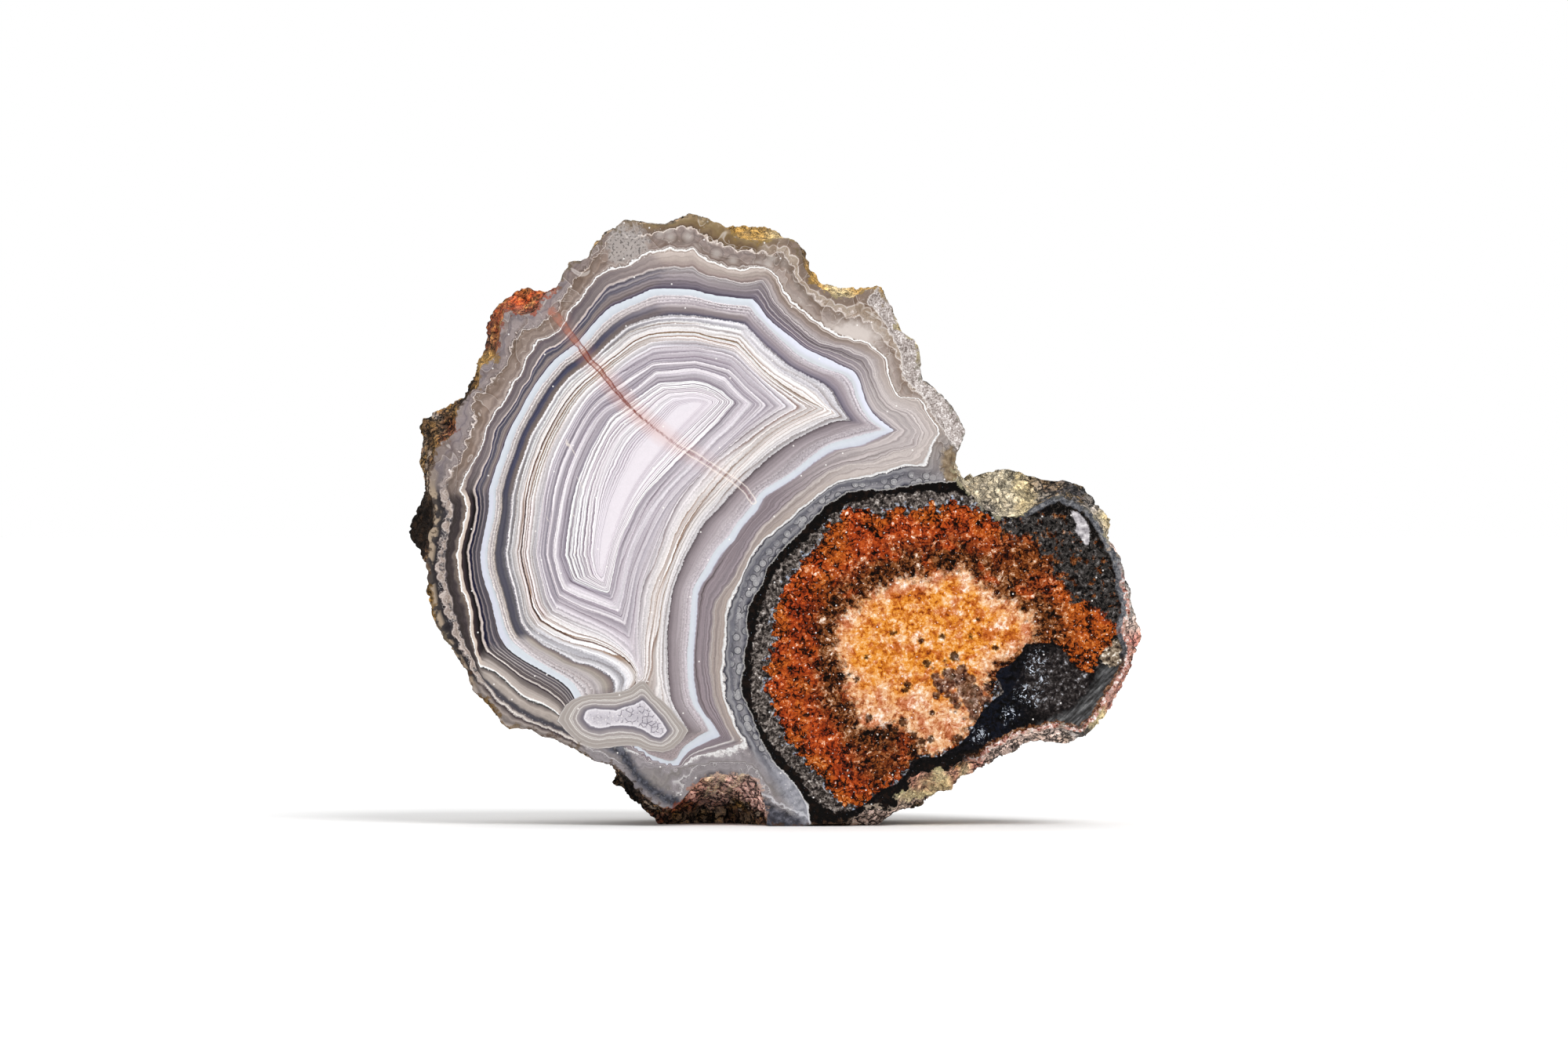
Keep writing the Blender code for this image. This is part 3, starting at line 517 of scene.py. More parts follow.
# The colours that have names, as hexadecimal codes.
# Soot is dark earth and partly painted shade.
COLOURS = {
    "ochre": "c49a52", "pale ochre": "d8c496", "dark ochre": "8a652c", "red": "cc5628", "rust": "a0451f",
    # The recess and foot colours are painted light, brighter to lift the shade that falls there.
    "umber": "65493a", "recess rose with painted light": "ffcec2", "recess brown with painted light": "cf8d78", "foot tuff with painted light": "ffeebc",
    "foot rose with painted light": "f0a898", "soot and painted shade": "2c1b0d", "rose": "d08c80", "pale rose": "f2d6ca", "tuff": "d9ccb0",
    "ash": "aea6a1", "slate": "4d4c50", "crust": "8d7b69", "jet": "0b0908", "jet brown": "1c120d",
    "steel_glint": "9fb0c8", "pale fleck": "f4ded2", "veil": "cbbcae", "white": "f6f2ef",
}

# The level of the last band.
LAST_LEVEL = 13.0

# The colours through the banding in each part of the lobe, as (level, colour). Whole levels are the bands
# above.
LAYERS = {
    "left": [
        (0.0, "5c5148"), (0.25, "4f4742"), (0.45, "403b3a"), (0.72, "423c3c"), (0.78, "867a75"),
        (0.82, "bdb1aa"), (0.86, "a3958e"), (1.04, "96887f"), (1.1, "b3a69f"), (1.15, "6a6160"),
        (1.24, "443d3c"), (1.66, "494141"), (1.8, "6d635e"), (1.94, "8a7f79"), (1.97, "f2efee"),
        (2.04, "f2efee"), (2.08, "d0c2b8"), (2.28, "c0b1a6"), (2.36, "594c48"), (2.48, "3f3638"),
        (2.86, "483e3f"), (2.95, "b3a6a0"), (3.05, "b9ada8"), (3.12, "4b464e"), (3.27, "48444c"),
        (3.33, "8d8283"), (3.4, "565158"), (3.55, "534f56"), (3.61, "877e80"), (3.68, "5f5960"),
        (3.85, "5a555b"), (3.97, "686368"), (4.01, "c1c3cf"), (4.55, "c9cbd6"), (4.97, "c0c4ca"),
        (5.02, "bbb4b7"), (5.1, "d5cecc"), (5.16, "a49c9d"), (5.24, "ccc4c1"), (5.3, "a8a09e"),
        (5.36, "c0b5af"), (5.42, "7e7674"), (5.47, "57545b"), (5.7, "504e58"), (5.88, "636065"),
        (5.95, "827e86"), (5.99, "a8a2a5"), (6.02, "e2dee0"), (6.08, "e5e1e3"), (6.15, "a19ea1"),
        (6.28, "9a979a"), (6.36, "dad7d9"), (6.42, "aba8a9"), (6.5, "cdc9ca"), (6.58, "b2acab"),
        (6.68, "ddd7d7"), (6.8, "d0c6c5"), (6.88, "ded8d8"), (6.95, "a3928d"), (6.99, "4c4041"),
        (7.03, "5f504e"), (7.07, "ded7d7"), (7.14, "dad1d0"), (7.18, "9e8f8c"), (7.25, "d9d1d0"),
        (7.32, "938381"), (7.38, "d9d0d1"), (7.48, "d3caca"), (7.56, "a49999"), (7.62, "d6d1d2"),
        (7.75, "c9c5c7"), (7.9, "c0bbc0"), (7.99, "dbd9dd"), (8.08, "ded8da"), (8.16, "b4adb4"),
        (8.25, "c7c0c6"), (8.32, "aca5ad"), (8.42, "d8d2d7"), (8.5, "aaa2ab"), (8.6, "a19aa3"),
        (8.7, "b6aeb6"), (8.8, "99939c"), (8.94, "969099"), (8.98, "ded8dd"), (9.2, "d6cfd4"),
        (9.34, "b6afb6"), (9.5, "a29ba4"), (9.9, "a9a2aa"), (9.95, "ded7dc"), (10.15, "e0dade"),
        (10.28, "c6bfc6"), (10.42, "a8a0a9"), (10.8, "9c959e"), (10.95, "948d96"), (10.98, "eee9eb"),
        (11.1, "efeaec"), (11.17, "b3aab1"), (11.23, "ede8ea"), (11.36, "ece7e9"), (11.43, "b8b0b7"),
        (11.5, "ebe6e9"), (11.6, "ebe6e9"), (11.66, "bdb6bc"), (11.73, "e8e3e6"), (11.84, "e7e1e5"),
        (11.9, "ccc4cb"), (12.0, "e3dee2"), (12.4, "ddd7dd"), (13.0, "e0d9df"),
    ],
    "upper_left": [
        (0.0, "756b68"), (0.25, "8a7f7d"), (0.5, "82787a"), (0.7, "8d8281"), (0.9, "8b807f"),
        (0.955, "7c706d"), (0.97, "c9beba"), (1.01, "c4b8b2"), (1.04, "87786f"), (1.3, "86766d"),
        (1.55, "94847b"), (1.75, "85766f"), (1.9, "a3958e"), (1.965, "857b79"), (1.985, "e8e5e4"),
        (2.055, "e4dfdd"), (2.09, "8a807f"), (2.3, "6a6064"), (2.6, "7d7374"), (2.88, "837979"),
        (2.95, "bcafab"), (3.03, "c5b9b6"), (3.1, "5e5965"), (3.2, "64606c"), (3.26, "8f888a"),
        (3.32, "5c5965"), (3.45, "605d68"), (3.55, "7f7677"), (3.75, "807573"), (3.9, "6d646d"),
        (3.985, "5a5561"), (4.01, "c3c7d0"), (4.5, "c9ced5"), (4.97, "c3c6cd"), (5.03, "d8d1d2"),
        (5.1, "a69fa0"), (5.18, "cec7c6"), (5.26, "a29a9a"), (5.34, "b6aeac"), (5.42, "6d676d"),
        (5.5, "4a495a"), (5.66, "4c4a59"), (5.8, "6b6160"), (5.92, "756a66"), (5.97, "8e8583"),
        (6.01, "dcd9db"), (6.08, "e2dee0"), (6.18, "a29fa2"), (6.3, "ada9ac"), (6.38, "e5e1e3"),
        (6.46, "bdb9ba"), (6.56, "d4d0d1"), (6.64, "b0aaab"), (6.74, "e6e2e2"), (6.84, "ddd6d4"),
        (6.92, "e6e2e0"), (6.96, "8d7a70"), (7.01, "75604f"), (7.06, "e3dedc"), (7.14, "e3dddb"),
        (7.19, "8d796c"), (7.23, "8d796c"), (7.28, "e3dddb"), (7.34, "93816f"), (7.41, "e3dddd"),
        (7.5, "ada19b"), (7.58, "e2ddde"), (7.72, "d2cdcf"), (7.88, "c2bdc0"), (7.97, "e5e2e7"),
        (8.06, "ded8dc"), (8.14, "bab2ba"), (8.24, "cec8ce"), (8.32, "aca5ae"), (8.42, "c7c0c7"),
        (8.52, "a8a0a9"), (8.66, "b2abb2"), (8.8, "9f98a1"), (8.94, "a29ba3"), (8.99, "dcd6da"),
        (9.2, "dad4d9"), (9.32, "b8b1b9"), (9.5, "aaa3ab"), (9.9, "a8a0a9"), (9.96, "d8d2d7"),
        (10.16, "ded8dd"), (10.3, "c5bec5"), (10.5, "b0a8b0"), (10.8, "a9a2aa"), (10.95, "9e97a0"),
        (10.99, "eeeaec"), (11.1, "ede8ea"), (11.18, "c8c0c5"), (11.25, "ece7e9"), (11.38, "e7e2e5"),
        (11.46, "c6bec4"), (11.54, "e9e4e7"), (11.7, "e4dfe2"), (11.8, "d5ced3"), (12.0, "e2dde1"),
        (12.4, "dbd5db"), (13.0, "e1dae0"),
    ],
    "top": [
        (0.0, "8f7c62"), (0.2, "98856a"), (0.45, "8a7759"), (0.7, "7b6850"), (0.93, "6f5d4c"),
        (0.96, "6a5a4c"), (0.98, "cfc3ba"), (1.02, "cabeb6"), (1.06, "9b8d87"), (1.3, "92847f"),
        (1.55, "897b75"), (1.72, "8d7f79"), (1.84, "7d6f69"), (1.88, "b5aca8"), (1.93, "8f837c"),
        (1.975, "e4e0de"), (2.05, "e0dbd7"), (2.09, "a89a92"), (2.16, "bdb0a9"), (2.5, "ac9f98"),
        (2.75, "9d8f8a"), (2.93, "948683"), (2.98, "c9c1c0"), (3.06, "b1aaab"), (3.2, "9f9799"),
        (3.45, "8f868a"), (3.7, "7c737b"), (3.9, "6c6572"), (3.985, "66616f"), (4.01, "cad0d7"),
        (4.6, "cacfd6"), (4.97, "ced0d6"), (5.03, "e4dce0"), (5.1, "bbb3b7"), (5.17, "dbd3d7"),
        (5.24, "aea5aa"), (5.32, "cdc4c9"), (5.4, "a69ca1"), (5.48, "bab1b4"), (5.58, "9b9193"),
        (5.74, "867c7f"), (5.86, "6f6770"), (5.95, "5d5b68"), (5.98, "918e97"), (6.02, "d1ced4"),
        (6.1, "e3e0e5"), (6.18, "c1bec4"), (6.28, "b4b1b7"), (6.38, "e8e5e8"), (6.5, "e1dddf"),
        (6.6, "c9c4c6"), (6.7, "e9e6e7"), (6.86, "e3dedd"), (6.93, "e4dfde"), (6.97, "95837a"),
        (7.03, "93816f"), (7.08, "e8e3e3"), (7.2, "e3ddde"), (7.25, "a8968c"), (7.3, "a8968c"),
        (7.35, "e5e0e0"), (7.45, "ded9da"), (7.52, "b5aaa7"), (7.6, "d9d4d7"), (7.75, "c4bfc4"),
        (7.9, "beb9c0"), (7.98, "e4e0e7"), (8.1, "d3ccd2"), (8.3, "c2bbc2"), (8.5, "b9b1b8"),
        (8.75, "aea6ae"), (8.95, "a9a2aa"), (8.99, "ded8dd"), (9.22, "ddd7db"), (9.3, "c1bac0"),
        (9.45, "b3acb3"), (9.9, "a9a2aa"), (9.96, "ded8dd"), (10.2, "dfd9de"), (10.3, "c5bec5"),
        (10.5, "b4adb4"), (10.8, "aba3ab"), (10.95, "a39ca4"), (10.99, "efebed"), (11.14, "eeeaec"),
        (11.22, "c6bfc5"), (11.3, "ece8ea"), (11.5, "e7e2e5"), (11.58, "c8c1c7"), (11.66, "e7e1e5"),
        (12.0, "e2dce1"), (12.5, "dcd6dc"), (13.0, "e0dae0"),
    ],
    "upper_right": [
        (0.0, "978a7b"), (0.2, "86766a"), (0.45, "7f6f64"), (0.62, "8d7d72"), (0.68, "c4b9b1"),
        (0.76, "a39588"), (0.95, "ab9d92"), (1.0, "c9beb7"), (1.08, "8c7d73"), (1.35, "94867e"),
        (1.6, "9f918a"), (1.85, "a89b94"), (1.94, "85776f"), (1.965, "e4dfdd"), (2.055, "e6e2e0"),
        (2.09, "93847e"), (2.18, "c4b8b1"), (2.24, "918279"), (2.5, "958781"), (2.7, "a39795"),
        (2.9, "ada4a4"), (2.96, "8c8284"), (3.0, "cdc5c4"), (3.05, "a0979a"), (3.18, "857b80"),
        (3.23, "a59c9e"), (3.28, "7d737a"), (3.42, "877e82"), (3.47, "aaa2a5"), (3.52, "797079"),
        (3.66, "837980"), (3.71, "a49ba0"), (3.76, "766e79"), (3.9, "7c7480"), (3.985, "6e6874"),
        (4.01, "d1d3df"), (4.4, "d5d7e3"), (4.8, "cacdd3"), (4.97, "cbcdd2"), (5.04, "bbb4bb"),
        (5.12, "cdc6cc"), (5.2, "aea6ac"), (5.3, "b5adb2"), (5.42, "a69ca1"), (5.6, "968c93"),
        (5.8, "817984"), (5.93, "6f6976"), (5.98, "8f8892"), (6.02, "bfbcc2"), (6.12, "cecbd0"),
        (6.3, "dad6da"), (6.42, "c0bcc1"), (6.55, "e6e2e4"), (6.7, "e9e5e6"), (6.86, "e3dddc"),
        (6.94, "e7e2e0"), (6.98, "a7978f"), (7.03, "a39389"), (7.08, "e7e3e2"), (7.24, "e3dddd"),
        (7.3, "beb1ac"), (7.37, "e6e1e1"), (7.52, "e0dbdc"), (7.6, "c5bdbd"), (7.68, "dcd7da"),
        (7.85, "c8c3c9"), (7.95, "c3bec5"), (7.99, "e2dfe6"), (8.12, "d0c9ce"), (8.35, "c3bcc3"),
        (8.6, "bbb3ba"), (8.85, "b3acb3"), (8.96, "b0a9b1"), (8.99, "d6d0d5"), (9.22, "d5cfd4"),
        (9.32, "c1bac1"), (9.5, "b6aeb6"), (9.92, "b0a9b1"), (9.96, "d6d0d5"), (10.2, "d6d0d5"),
        (10.32, "c3bcc3"), (10.55, "b7b0b7"), (10.9, "afa8b0"), (10.99, "ece8ea"), (11.12, "ece8ea"),
        (11.2, "c9c1c7"), (11.28, "e9e5e7"), (11.42, "e7e2e5"), (11.5, "cac3c9"), (11.58, "e6e1e4"),
        (12.0, "e1dbe0"), (12.5, "ddd6dc"), (13.0, "e1dae0"),
    ],
    "moss_side": [
        (0.0, "15111b"), (0.1, "383741"), (0.3, "69686f"), (0.6, "858387"), (0.9, "77757b"),
        (1.2, "67666d"), (1.5, "6b6a71"), (1.75, "89888c"), (1.88, "5b595e"), (1.94, "bebab9"),
        (2.0, "dfdede"), (2.08, "cccac9"), (2.16, "a89c96"), (2.4, "a59993"), (2.6, "9c908c"),
        (2.8, "a19590"), (2.94, "b3a9a5"), (3.0, "aba09e"), (3.1, "94898d"), (3.4, "8c8186"),
        (3.7, "857a7f"), (3.93, "8b8187"), (3.99, "a8a3af"), (4.05, "c2c5cf"), (4.5, "cbcfd7"),
        (4.9, "c8ccd2"), (5.02, "c2bcc2"), (5.15, "b5adb2"), (5.4, "a9a0a4"), (5.6, "9c9296"),
        (5.8, "897f83"), (5.93, "766c70"), (5.985, "6c6367"), (6.02, "bbb7b9"), (6.12, "c3bfc1"),
        (6.3, "cbc7c9"), (6.42, "c5c0c1"), (6.52, "d9d5d6"), (6.62, "d1cccc"), (6.74, "dcd8d7"),
        (6.86, "d8d1d0"), (6.94, "dcd6d4"), (6.985, "bdb1ad"), (7.04, "ddd7d6"), (7.14, "dcd6d4"),
        (7.2, "c1b5b0"), (7.28, "dcd6d5"), (7.45, "dad4d3"), (7.62, "d5cfd0"), (7.8, "c9c3c5"),
        (7.95, "bbb5b9"), (7.99, "b3adb1"), (8.02, "d4ced1"), (8.2, "cac3c8"), (8.5, "c0b8be"),
        (8.8, "b6afb6"), (8.97, "b0a8b0"), (9.0, "cdc6cc"), (9.12, "d5ced4"), (9.3, "cac3c9"),
        (9.6, "bdb5bc"), (9.95, "b2aab2"), (9.99, "cfc8ce"), (10.15, "d2ccd2"), (10.4, "c5bdc4"),
        (10.7, "b9b2b9"), (10.95, "b3abb3"), (10.99, "e8e4e6"), (11.15, "eae6e8"), (11.25, "d8d1d6"),
        (11.35, "e8e3e6"), (11.55, "e4dfe3"), (11.65, "d8d1d6"), (11.8, "e3dee2"), (12.3, "ded7dd"),
        (13.0, "e1dae0"),
    ],
    "bottom": [
        (0.0, "635d60"), (0.25, "827c7e"), (0.5, "8b8587"), (0.8, "8e888a"), (0.93, "8a8486"),
        (0.97, "b3afaf"), (1.0, "b9b5b5"), (1.05, "8f898b"), (1.3, "86807f"), (1.6, "8e888a"),
        (1.9, "979193"), (1.96, "cac6c6"), (2.02, "d2d0d0"), (2.08, "9b9395"), (2.6, "8c8487"),
        (2.95, "c1bbbb"), (3.1, "8f868a"), (3.6, "897f85"), (3.96, "948b93"), (4.03, "bdc1cb"),
        (4.6, "c6cad2"), (4.97, "bfc3c9"), (5.1, "9c9395"), (5.6, "908687"), (5.96, "7e7475"),
        (6.02, "ada9ab"), (6.5, "c6c2c3"), (6.96, "bdb4b1"), (7.02, "7e6c64"), (7.1, "cec7c6"),
        (7.6, "d2cccc"), (8.0, "d1c9cc"), (9.0, "cec7cc"), (13.0, "dfd9de"),
    ],
    "lower_left": [
        (0.0, "7d726b"), (0.2, "a0958e"), (0.4, "7b726e"), (0.6, "8c827d"), (0.82, "655d5c"),
        (0.93, "cbc3bd"), (0.99, "b3a9a3"), (1.06, "6a6363"), (1.16, "4b484d"), (1.28, "5e595a"),
        (1.36, "938a85"), (1.55, "a0968f"), (1.7, "a89e97"), (1.82, "857b76"), (1.92, "55504f"),
        (1.96, "5f5858"), (1.985, "eeeceb"), (2.05, "e8e5e2"), (2.1, "bdb2ac"), (2.3, "afa59f"),
        (2.5, "9b918c"), (2.62, "7d7470"), (2.8, "665e5d"), (2.9, "5d5556"), (2.95, "d2cac5"),
        (3.01, "cdc4be"), (3.05, "6f6766"), (3.2, "6b6464"), (3.25, "a69e9b"), (3.3, "696264"),
        (3.41, "6f6869"), (3.46, "a09997"), (3.51, "655f62"), (3.6, "6c6668"), (3.65, "9d9695"),
        (3.7, "5f5a5e"), (3.78, "666064"), (3.83, "979090"), (3.88, "5a565a"), (3.98, "565156"),
        (4.01, "c6cbd2"), (4.5, "cacfd6"), (4.95, "ccd0d5"), (5.02, "cdc7cb"), (5.07, "ded8db"),
        (5.13, "b7b0b3"), (5.2, "ccc5c7"), (5.28, "b5adae"), (5.5, "b1a9a9"), (5.75, "a29992"),
        (5.88, "8b807c"), (5.96, "756c6d"), (6.0, "89878c"), (6.04, "cdcbcf"), (6.15, "cbc9cd"),
        (6.3, "acaaaf"), (6.45, "bbb9be"), (6.55, "e1dfe3"), (6.75, "e7e4e6"), (6.92, "e6e3e4"),
        (6.98, "877774"), (7.03, "968883"), (7.08, "e7e3e2"), (7.3, "e1dbdb"), (7.38, "ab9e99"),
        (7.46, "e5e1e1"), (7.75, "e4dfe1"), (7.82, "c3bcbe"), (7.9, "e2dfe2"), (8.1, "dbd5d9"),
        (8.4, "cec7cd"), (8.7, "c0b8bf"), (8.95, "b1a9b1"), (9.0, "d2cbd1"), (9.12, "dcd6da"),
        (9.35, "c8c1c8"), (9.6, "b9b1b9"), (9.95, "aea5ae"), (10.0, "d8d2d7"), (10.25, "dcd6db"),
        (10.5, "c5bec5"), (10.9, "aaa3ac"), (10.98, "ede9eb"), (11.1, "eeeaec"), (11.2, "d6d0d5"),
        (11.3, "ebe7e9"), (11.5, "e7e2e5"), (11.6, "d5cfd4"), (11.75, "e7e2e5"), (12.3, "e0d9df"),
        (13.0, "e2dce1"),
    ],
}

# Where each part of the lobe lies, from corner to corner along the bands, and how blurred each border is.
# Corner 0 is the right tip, 1 the bottom tip, 2 the neck, 3 the lower left, and so on to 9, the tip again.
ZONES = {
    "left": (3, 5), "upper_left": (5, 6), "top": (6, 8), "upper_right": (8, 9), "moss_side": (0, 1),
    "bottom": (1, 2), "lower_left": (2, 3),
}
BORDER_BLUR = {0: 0.04, 1: 0.03, 2: 0.03, 3: 0.06, 5: 0.15, 6: 0.35, 8: 0.08}

# By level: how sugary the banding is, how far its lines ripple, how strong the fine laminae are, how cloudy
# it is, how clear the outer zone and its tongue are, and how much glints in the druzy lines.
SUGAR = [
    (0.0, 0.1), (0.74, 0.15), (0.8, 0.9), (1.1, 0.8), (1.16, 0.2), (1.85, 0.2), (1.95, 0.9), (2.1, 0.2),
    (2.9, 0.3), (3.0, 0.5), (3.1, 0.25), (3.95, 0.15), (4.0, 0.0), (4.9, 0.05), (5.0, 1.0), (5.4, 0.9),
    (5.5, 0.15), (5.85, 0.3), (5.95, 1.0), (6.1, 0.6), (6.2, 1.0), (6.35, 0.6), (6.6, 0.4), (7.0, 0.3),
    (7.7, 0.6), (7.95, 0.35), (8.3, 0.45), (9.0, 0.3), (10.5, 0.4), (11.0, 0.15), (13.0, 0.12),
]
RIPPLES = [(0.0, 1.0), (1.0, 0.9), (2.0, 0.4), (3.0, 0.25), (3.9, 0.06), (5.0, 0.05), (13.0, 0.05)]
LAMINAE = [
    (0.0, 0.12), (1.9, 0.12), (2.0, 0.0), (2.15, 0.0), (2.3, 0.14), (2.9, 0.14), (3.1, 0.2), (3.95, 0.2),
    (4.02, 0.0), (5.0, 0.0), (5.1, 0.16), (5.9, 0.1), (6.0, 0.16), (7.0, 0.18), (8.0, 0.16), (9.0, 0.14),
    (11.0, 0.2), (12.2, 0.2), (12.6, 0.04), (13.0, 0.0),
]
CLOUDS = [(0.0, 0.5), (1.0, 0.5), (1.8, 0.4), (2.1, 0.15), (13.0, 0.08)]
CLEAR_ZONE = [(0.0, 1.0), (1.75, 1.0), (1.9, 0.0), (13.0, 0.0)]
CLEAR_TONGUE = [(0.0, 0.0), (0.2, 0.8), (1.1, 0.8), (1.5, 0.2), (1.9, 0.0), (13.0, 0.0)]
DRUZY_GLINTS = [
    (0.0, 0.0), (0.85, 0.0), (0.95, 0.5), (1.1, 0.4), (1.2, 0.0), (1.85, 0.0), (1.95, 0.9), (2.1, 0.9),
    (2.2, 0.0), (13.0, 0.0),
]

# How many teeth the banding has from the edge to each level, how strong they are there, and what they
# darken towards.
TEETH = [
    (0.0, 0), (1.0, 2), (2.0, 5), (3.0, 9), (3.95, 15), (5.0, 15), (5.45, 18), (6.0, 19), (8.0, 26),
    (9.0, 29), (10.0, 32), (11.0, 35), (12.0, 42), (13.0, 51),
]
TEETH_STRENGTH = [
    (0.0, 0.15), (1.9, 0.2), (1.96, 0.0), (2.2, 0.0), (2.4, 0.4), (2.9, 0.4), (3.1, 0.8), (3.9, 0.8),
    (3.98, 0.0), (4.95, 0.0), (5.05, 0.6), (5.4, 0.6), (5.6, 0.15), (5.9, 0.1), (6.05, 1.0), (7.8, 1.1),
    (8.1, 0.8), (10.9, 0.8), (11.1, 1.9), (12.0, 1.6), (12.75, 1.3), (12.9, 0.0), (13.0, 0.0),
]
TEETH_TINTS = [
    (0.0, "b9aea6"), (3.0, "a69c98"), (5.0, "b5adaa"), (6.2, "a8a19f"), (6.6, "a48b78"), (7.3, "9c7f6a"),
    (7.8, "a99894"), (8.2, "9c909a"), (10.9, "9c909a"), (11.2, "9c909b"), (13.0, "bcb0ba"),
]

# Through one tooth from its outer side inwards: how dark it is, and how pale its edge is.
TOOTH_DARK = [(0.0, 0.0), (0.2, 0.0), (0.6, 0.25), (0.86, 0.9), (0.97, 1.0), (1.0, 0.0)]
TOOTH_PALE = [(0.0, 0.9), (0.16, 1.0), (0.34, 0.15), (0.6, 0.0), (1.0, 0.0)]

# The colours through the pocket: 0 is its outline, and at 1 the quartz in it begins.
POCKET_LAYERS = [
    (0.0, "6b6362"), (0.02, "cfc9c5"), (0.06, "a8a09b"), (0.2, "9d9590"), (0.24, "b7b0ab"),
    (0.29, "9f9792"), (0.4, "a59d98"), (0.43, "dcd7d3"), (0.47, "a39b97"), (0.5, "c9c3bf"),
    (0.54, "9d9592"), (0.63, "a39b98"), (0.67, "d5d0cd"), (0.71, "9d9596"), (0.79, "8f888a"),
    (0.89, "79737a"), (0.96, "716b74"), (1.0, "a5a1a8"), (1.05, "e4e0e4"), (1.25, "cdc8ce"),
    (1.6, "c4bfc6"), (2.0, "b9b4bb"),
]

# The tones of each mineral, from its dark gaps to its bright flecks.
TONES = {
    "orange": ["0b0402", "3a1404", "6e2d07", "91400e", "a44b12", "b45a19", "c4702c", "d99a6a", "f6dcc8"],
    "rust": ["0b0302", "3a1004", "722509", "92330d", "a54012", "b54c18", "c7652f", "e6af8c", "fbeadc"],
    "brown": ["0a0402", "230f05", "43200a", "5e3010", "74421c", "8a5a36", "a88062", "d2b39c", "f5e6da"],
    "gold": ["6e2c0c", "9c480c", "c46e18", "dc8a2b", "e39b46", "eab57a", "f3d0a8", "fae8d6", "ffffff"],
    "blush": ["7c4028", "a65c34", "c88350", "daa071", "e4b48a", "edcaa6", "f4decb", "faeee4", "ffffff"],
    "charcoal": ["050404", "100e0d", "1e1b1a", "2c2927", "3c3836", "4f4b49", "6b6766", "94908f", "cfccce"],
    "jet": ["020202", "050404", "090707", "0e0b0b", "171313", "262120", "3a3534", "5d5858", "a9aab0"],
    "hoar": ["080606", "14100e", "26211e", "3f3834", "5c5450", "7c736d", "9c938d", "c2bbb5", "eeece8"],
    "grapes": ["140b09", "2b1813", "45291f", "5d3b2e", "73503f", "8b6c5c", "a88c7e", "ccb8ae", "f2eae6"],
    "smoke": ["0f0e0e", "1b1a1a", "2a2929", "3a3939", "4b4b4c", "5f5f60", "787878", "9d9c9c", "d9d8d6"],
    "tan": ["120e0b", "2b221b", "473a2f", "625344", "7b6b59", "93826e", "b1a18d", "d3c7b7", "f5f0e8"],
    "skin": ["2c1510", "5e3226", "8a5345", "ad7567", "c3978b", "d6b7ae", "e6d5cf", "f4edea", "ffffff"],
}

# How strongly quartz bends light.
QUARTZ_IOR = 1.54

# The colours of smaller things, from their darker to their lighter grains.
SHADES = {
    "tongue": [(0.35, "7f8088"), (0.55, "a2a2aa"), (0.7, "b4b3b9")],
    "ink": [(0.35, "15171d"), (0.5, "2a2d38"), (0.66, "5b5c66")],
    "crystals": [(0.1, "5f5550"), (0.3, "8f847f"), (0.5, "aba19d"), (0.7, "c6bdb9"), (0.9, "f1ecea")],
    "amber": [(0.3, "4f3f2c"), (0.5, "7c684c"), (0.7, "a8957a")],
    "shard": [(0.35, "7d797d"), (0.5, "b3aeb1"), (0.65, "dedadb")],
    "lip": [(0.3, "34353a"), (0.5, "5a5b60"), (0.7, "8d8c8e")],
}

# Places on the polish as (right, up) of the frame's origin in millimetres: the middle of the golden heart,
# the brown parts of the plumes, the rough part of the jet, the speckled patch and the pale smear. The smear
# is twice as wide as it is high, so its first number is halved.
HEART = (20.3, 20.4, 0.0)
BROWN_PARTS = ((13.3, 9.4, 0.0), (31.0, 34.0, 0.0), (35.5, 34.5, 0.0))
ROUGH_JET = (36.0, 18.5, 0.0)
SPECKLED_PATCH = (-18.7, 74.0, 0.0)
SMEAR = (4.9, 62.6, 0.0)
SMEAR_SHAPE = (0.5, 1.0, 1.0)

# Round dark spots in the golden heart of the side lobe: (x, y, radius) in the photograph.
SPOTS = [
    (1158, 873, 5), (1154, 880, 4), (1175, 817, 4), (1139, 808, 4), (1202, 812, 4), (1217, 837, 6),
    (1182, 846, 5), (1222, 942, 6), (1165, 938, 5), (1175, 946, 5), (1187, 943, 5), (1152, 921, 6),
    (1141, 931, 5), (1128, 936, 5), (1189, 910, 4), (1108, 916, 5), (1224, 866, 7), (1207, 858, 6),
    (1200, 878, 6), (1106, 838, 3), (1238, 812, 3), (1093, 866, 4), (1270, 826, 4), (1248, 790, 3),
]

# Where the jet throws sharp glints, as circles in the same form.
GLINTS = [
    (1325, 838, 9), (1318, 852, 9), (1330, 868, 6), (1306, 884, 9), (1320, 890, 8), (1288, 912, 8),
    (1250, 938, 8),
]


def at(point):
    """A photograph point as (x, z) on the polished face."""
    return ((point[0] - ORIGIN_PX[0]) * PIXEL, (ORIGIN_PX[1] - point[1]) * PIXEL)


def colour(name):
    """A named colour, or a hexadecimal one, as the shader's linear red, green, blue and alpha."""
    code = COLOURS.get(name, name)
    parts = [int(code[i:i + 2], 16) / 255 for i in (0, 2, 4)]
    linear = [v / 12.92 if v <= 0.04045 else ((v + 0.055) / 1.055) ** 2.4 for v in parts]
    return (*linear, 1.0)


def crisper(stops):
    """The stops with each colour moved away from its neighbours' mean, so that thin lines stay clear."""
    tones = np.array([colour(name)[:3] for _, name in stops])
    means = (tones[:-2] + tones[2:]) / 2
    tones[1:-1] = np.clip(tones[1:-1] + CRISPNESS * (tones[1:-1] - means), 0, MOST_WHITE)
    return [(place, (*tone, 1.0)) for (place, _), tone in zip(stops, tones)]


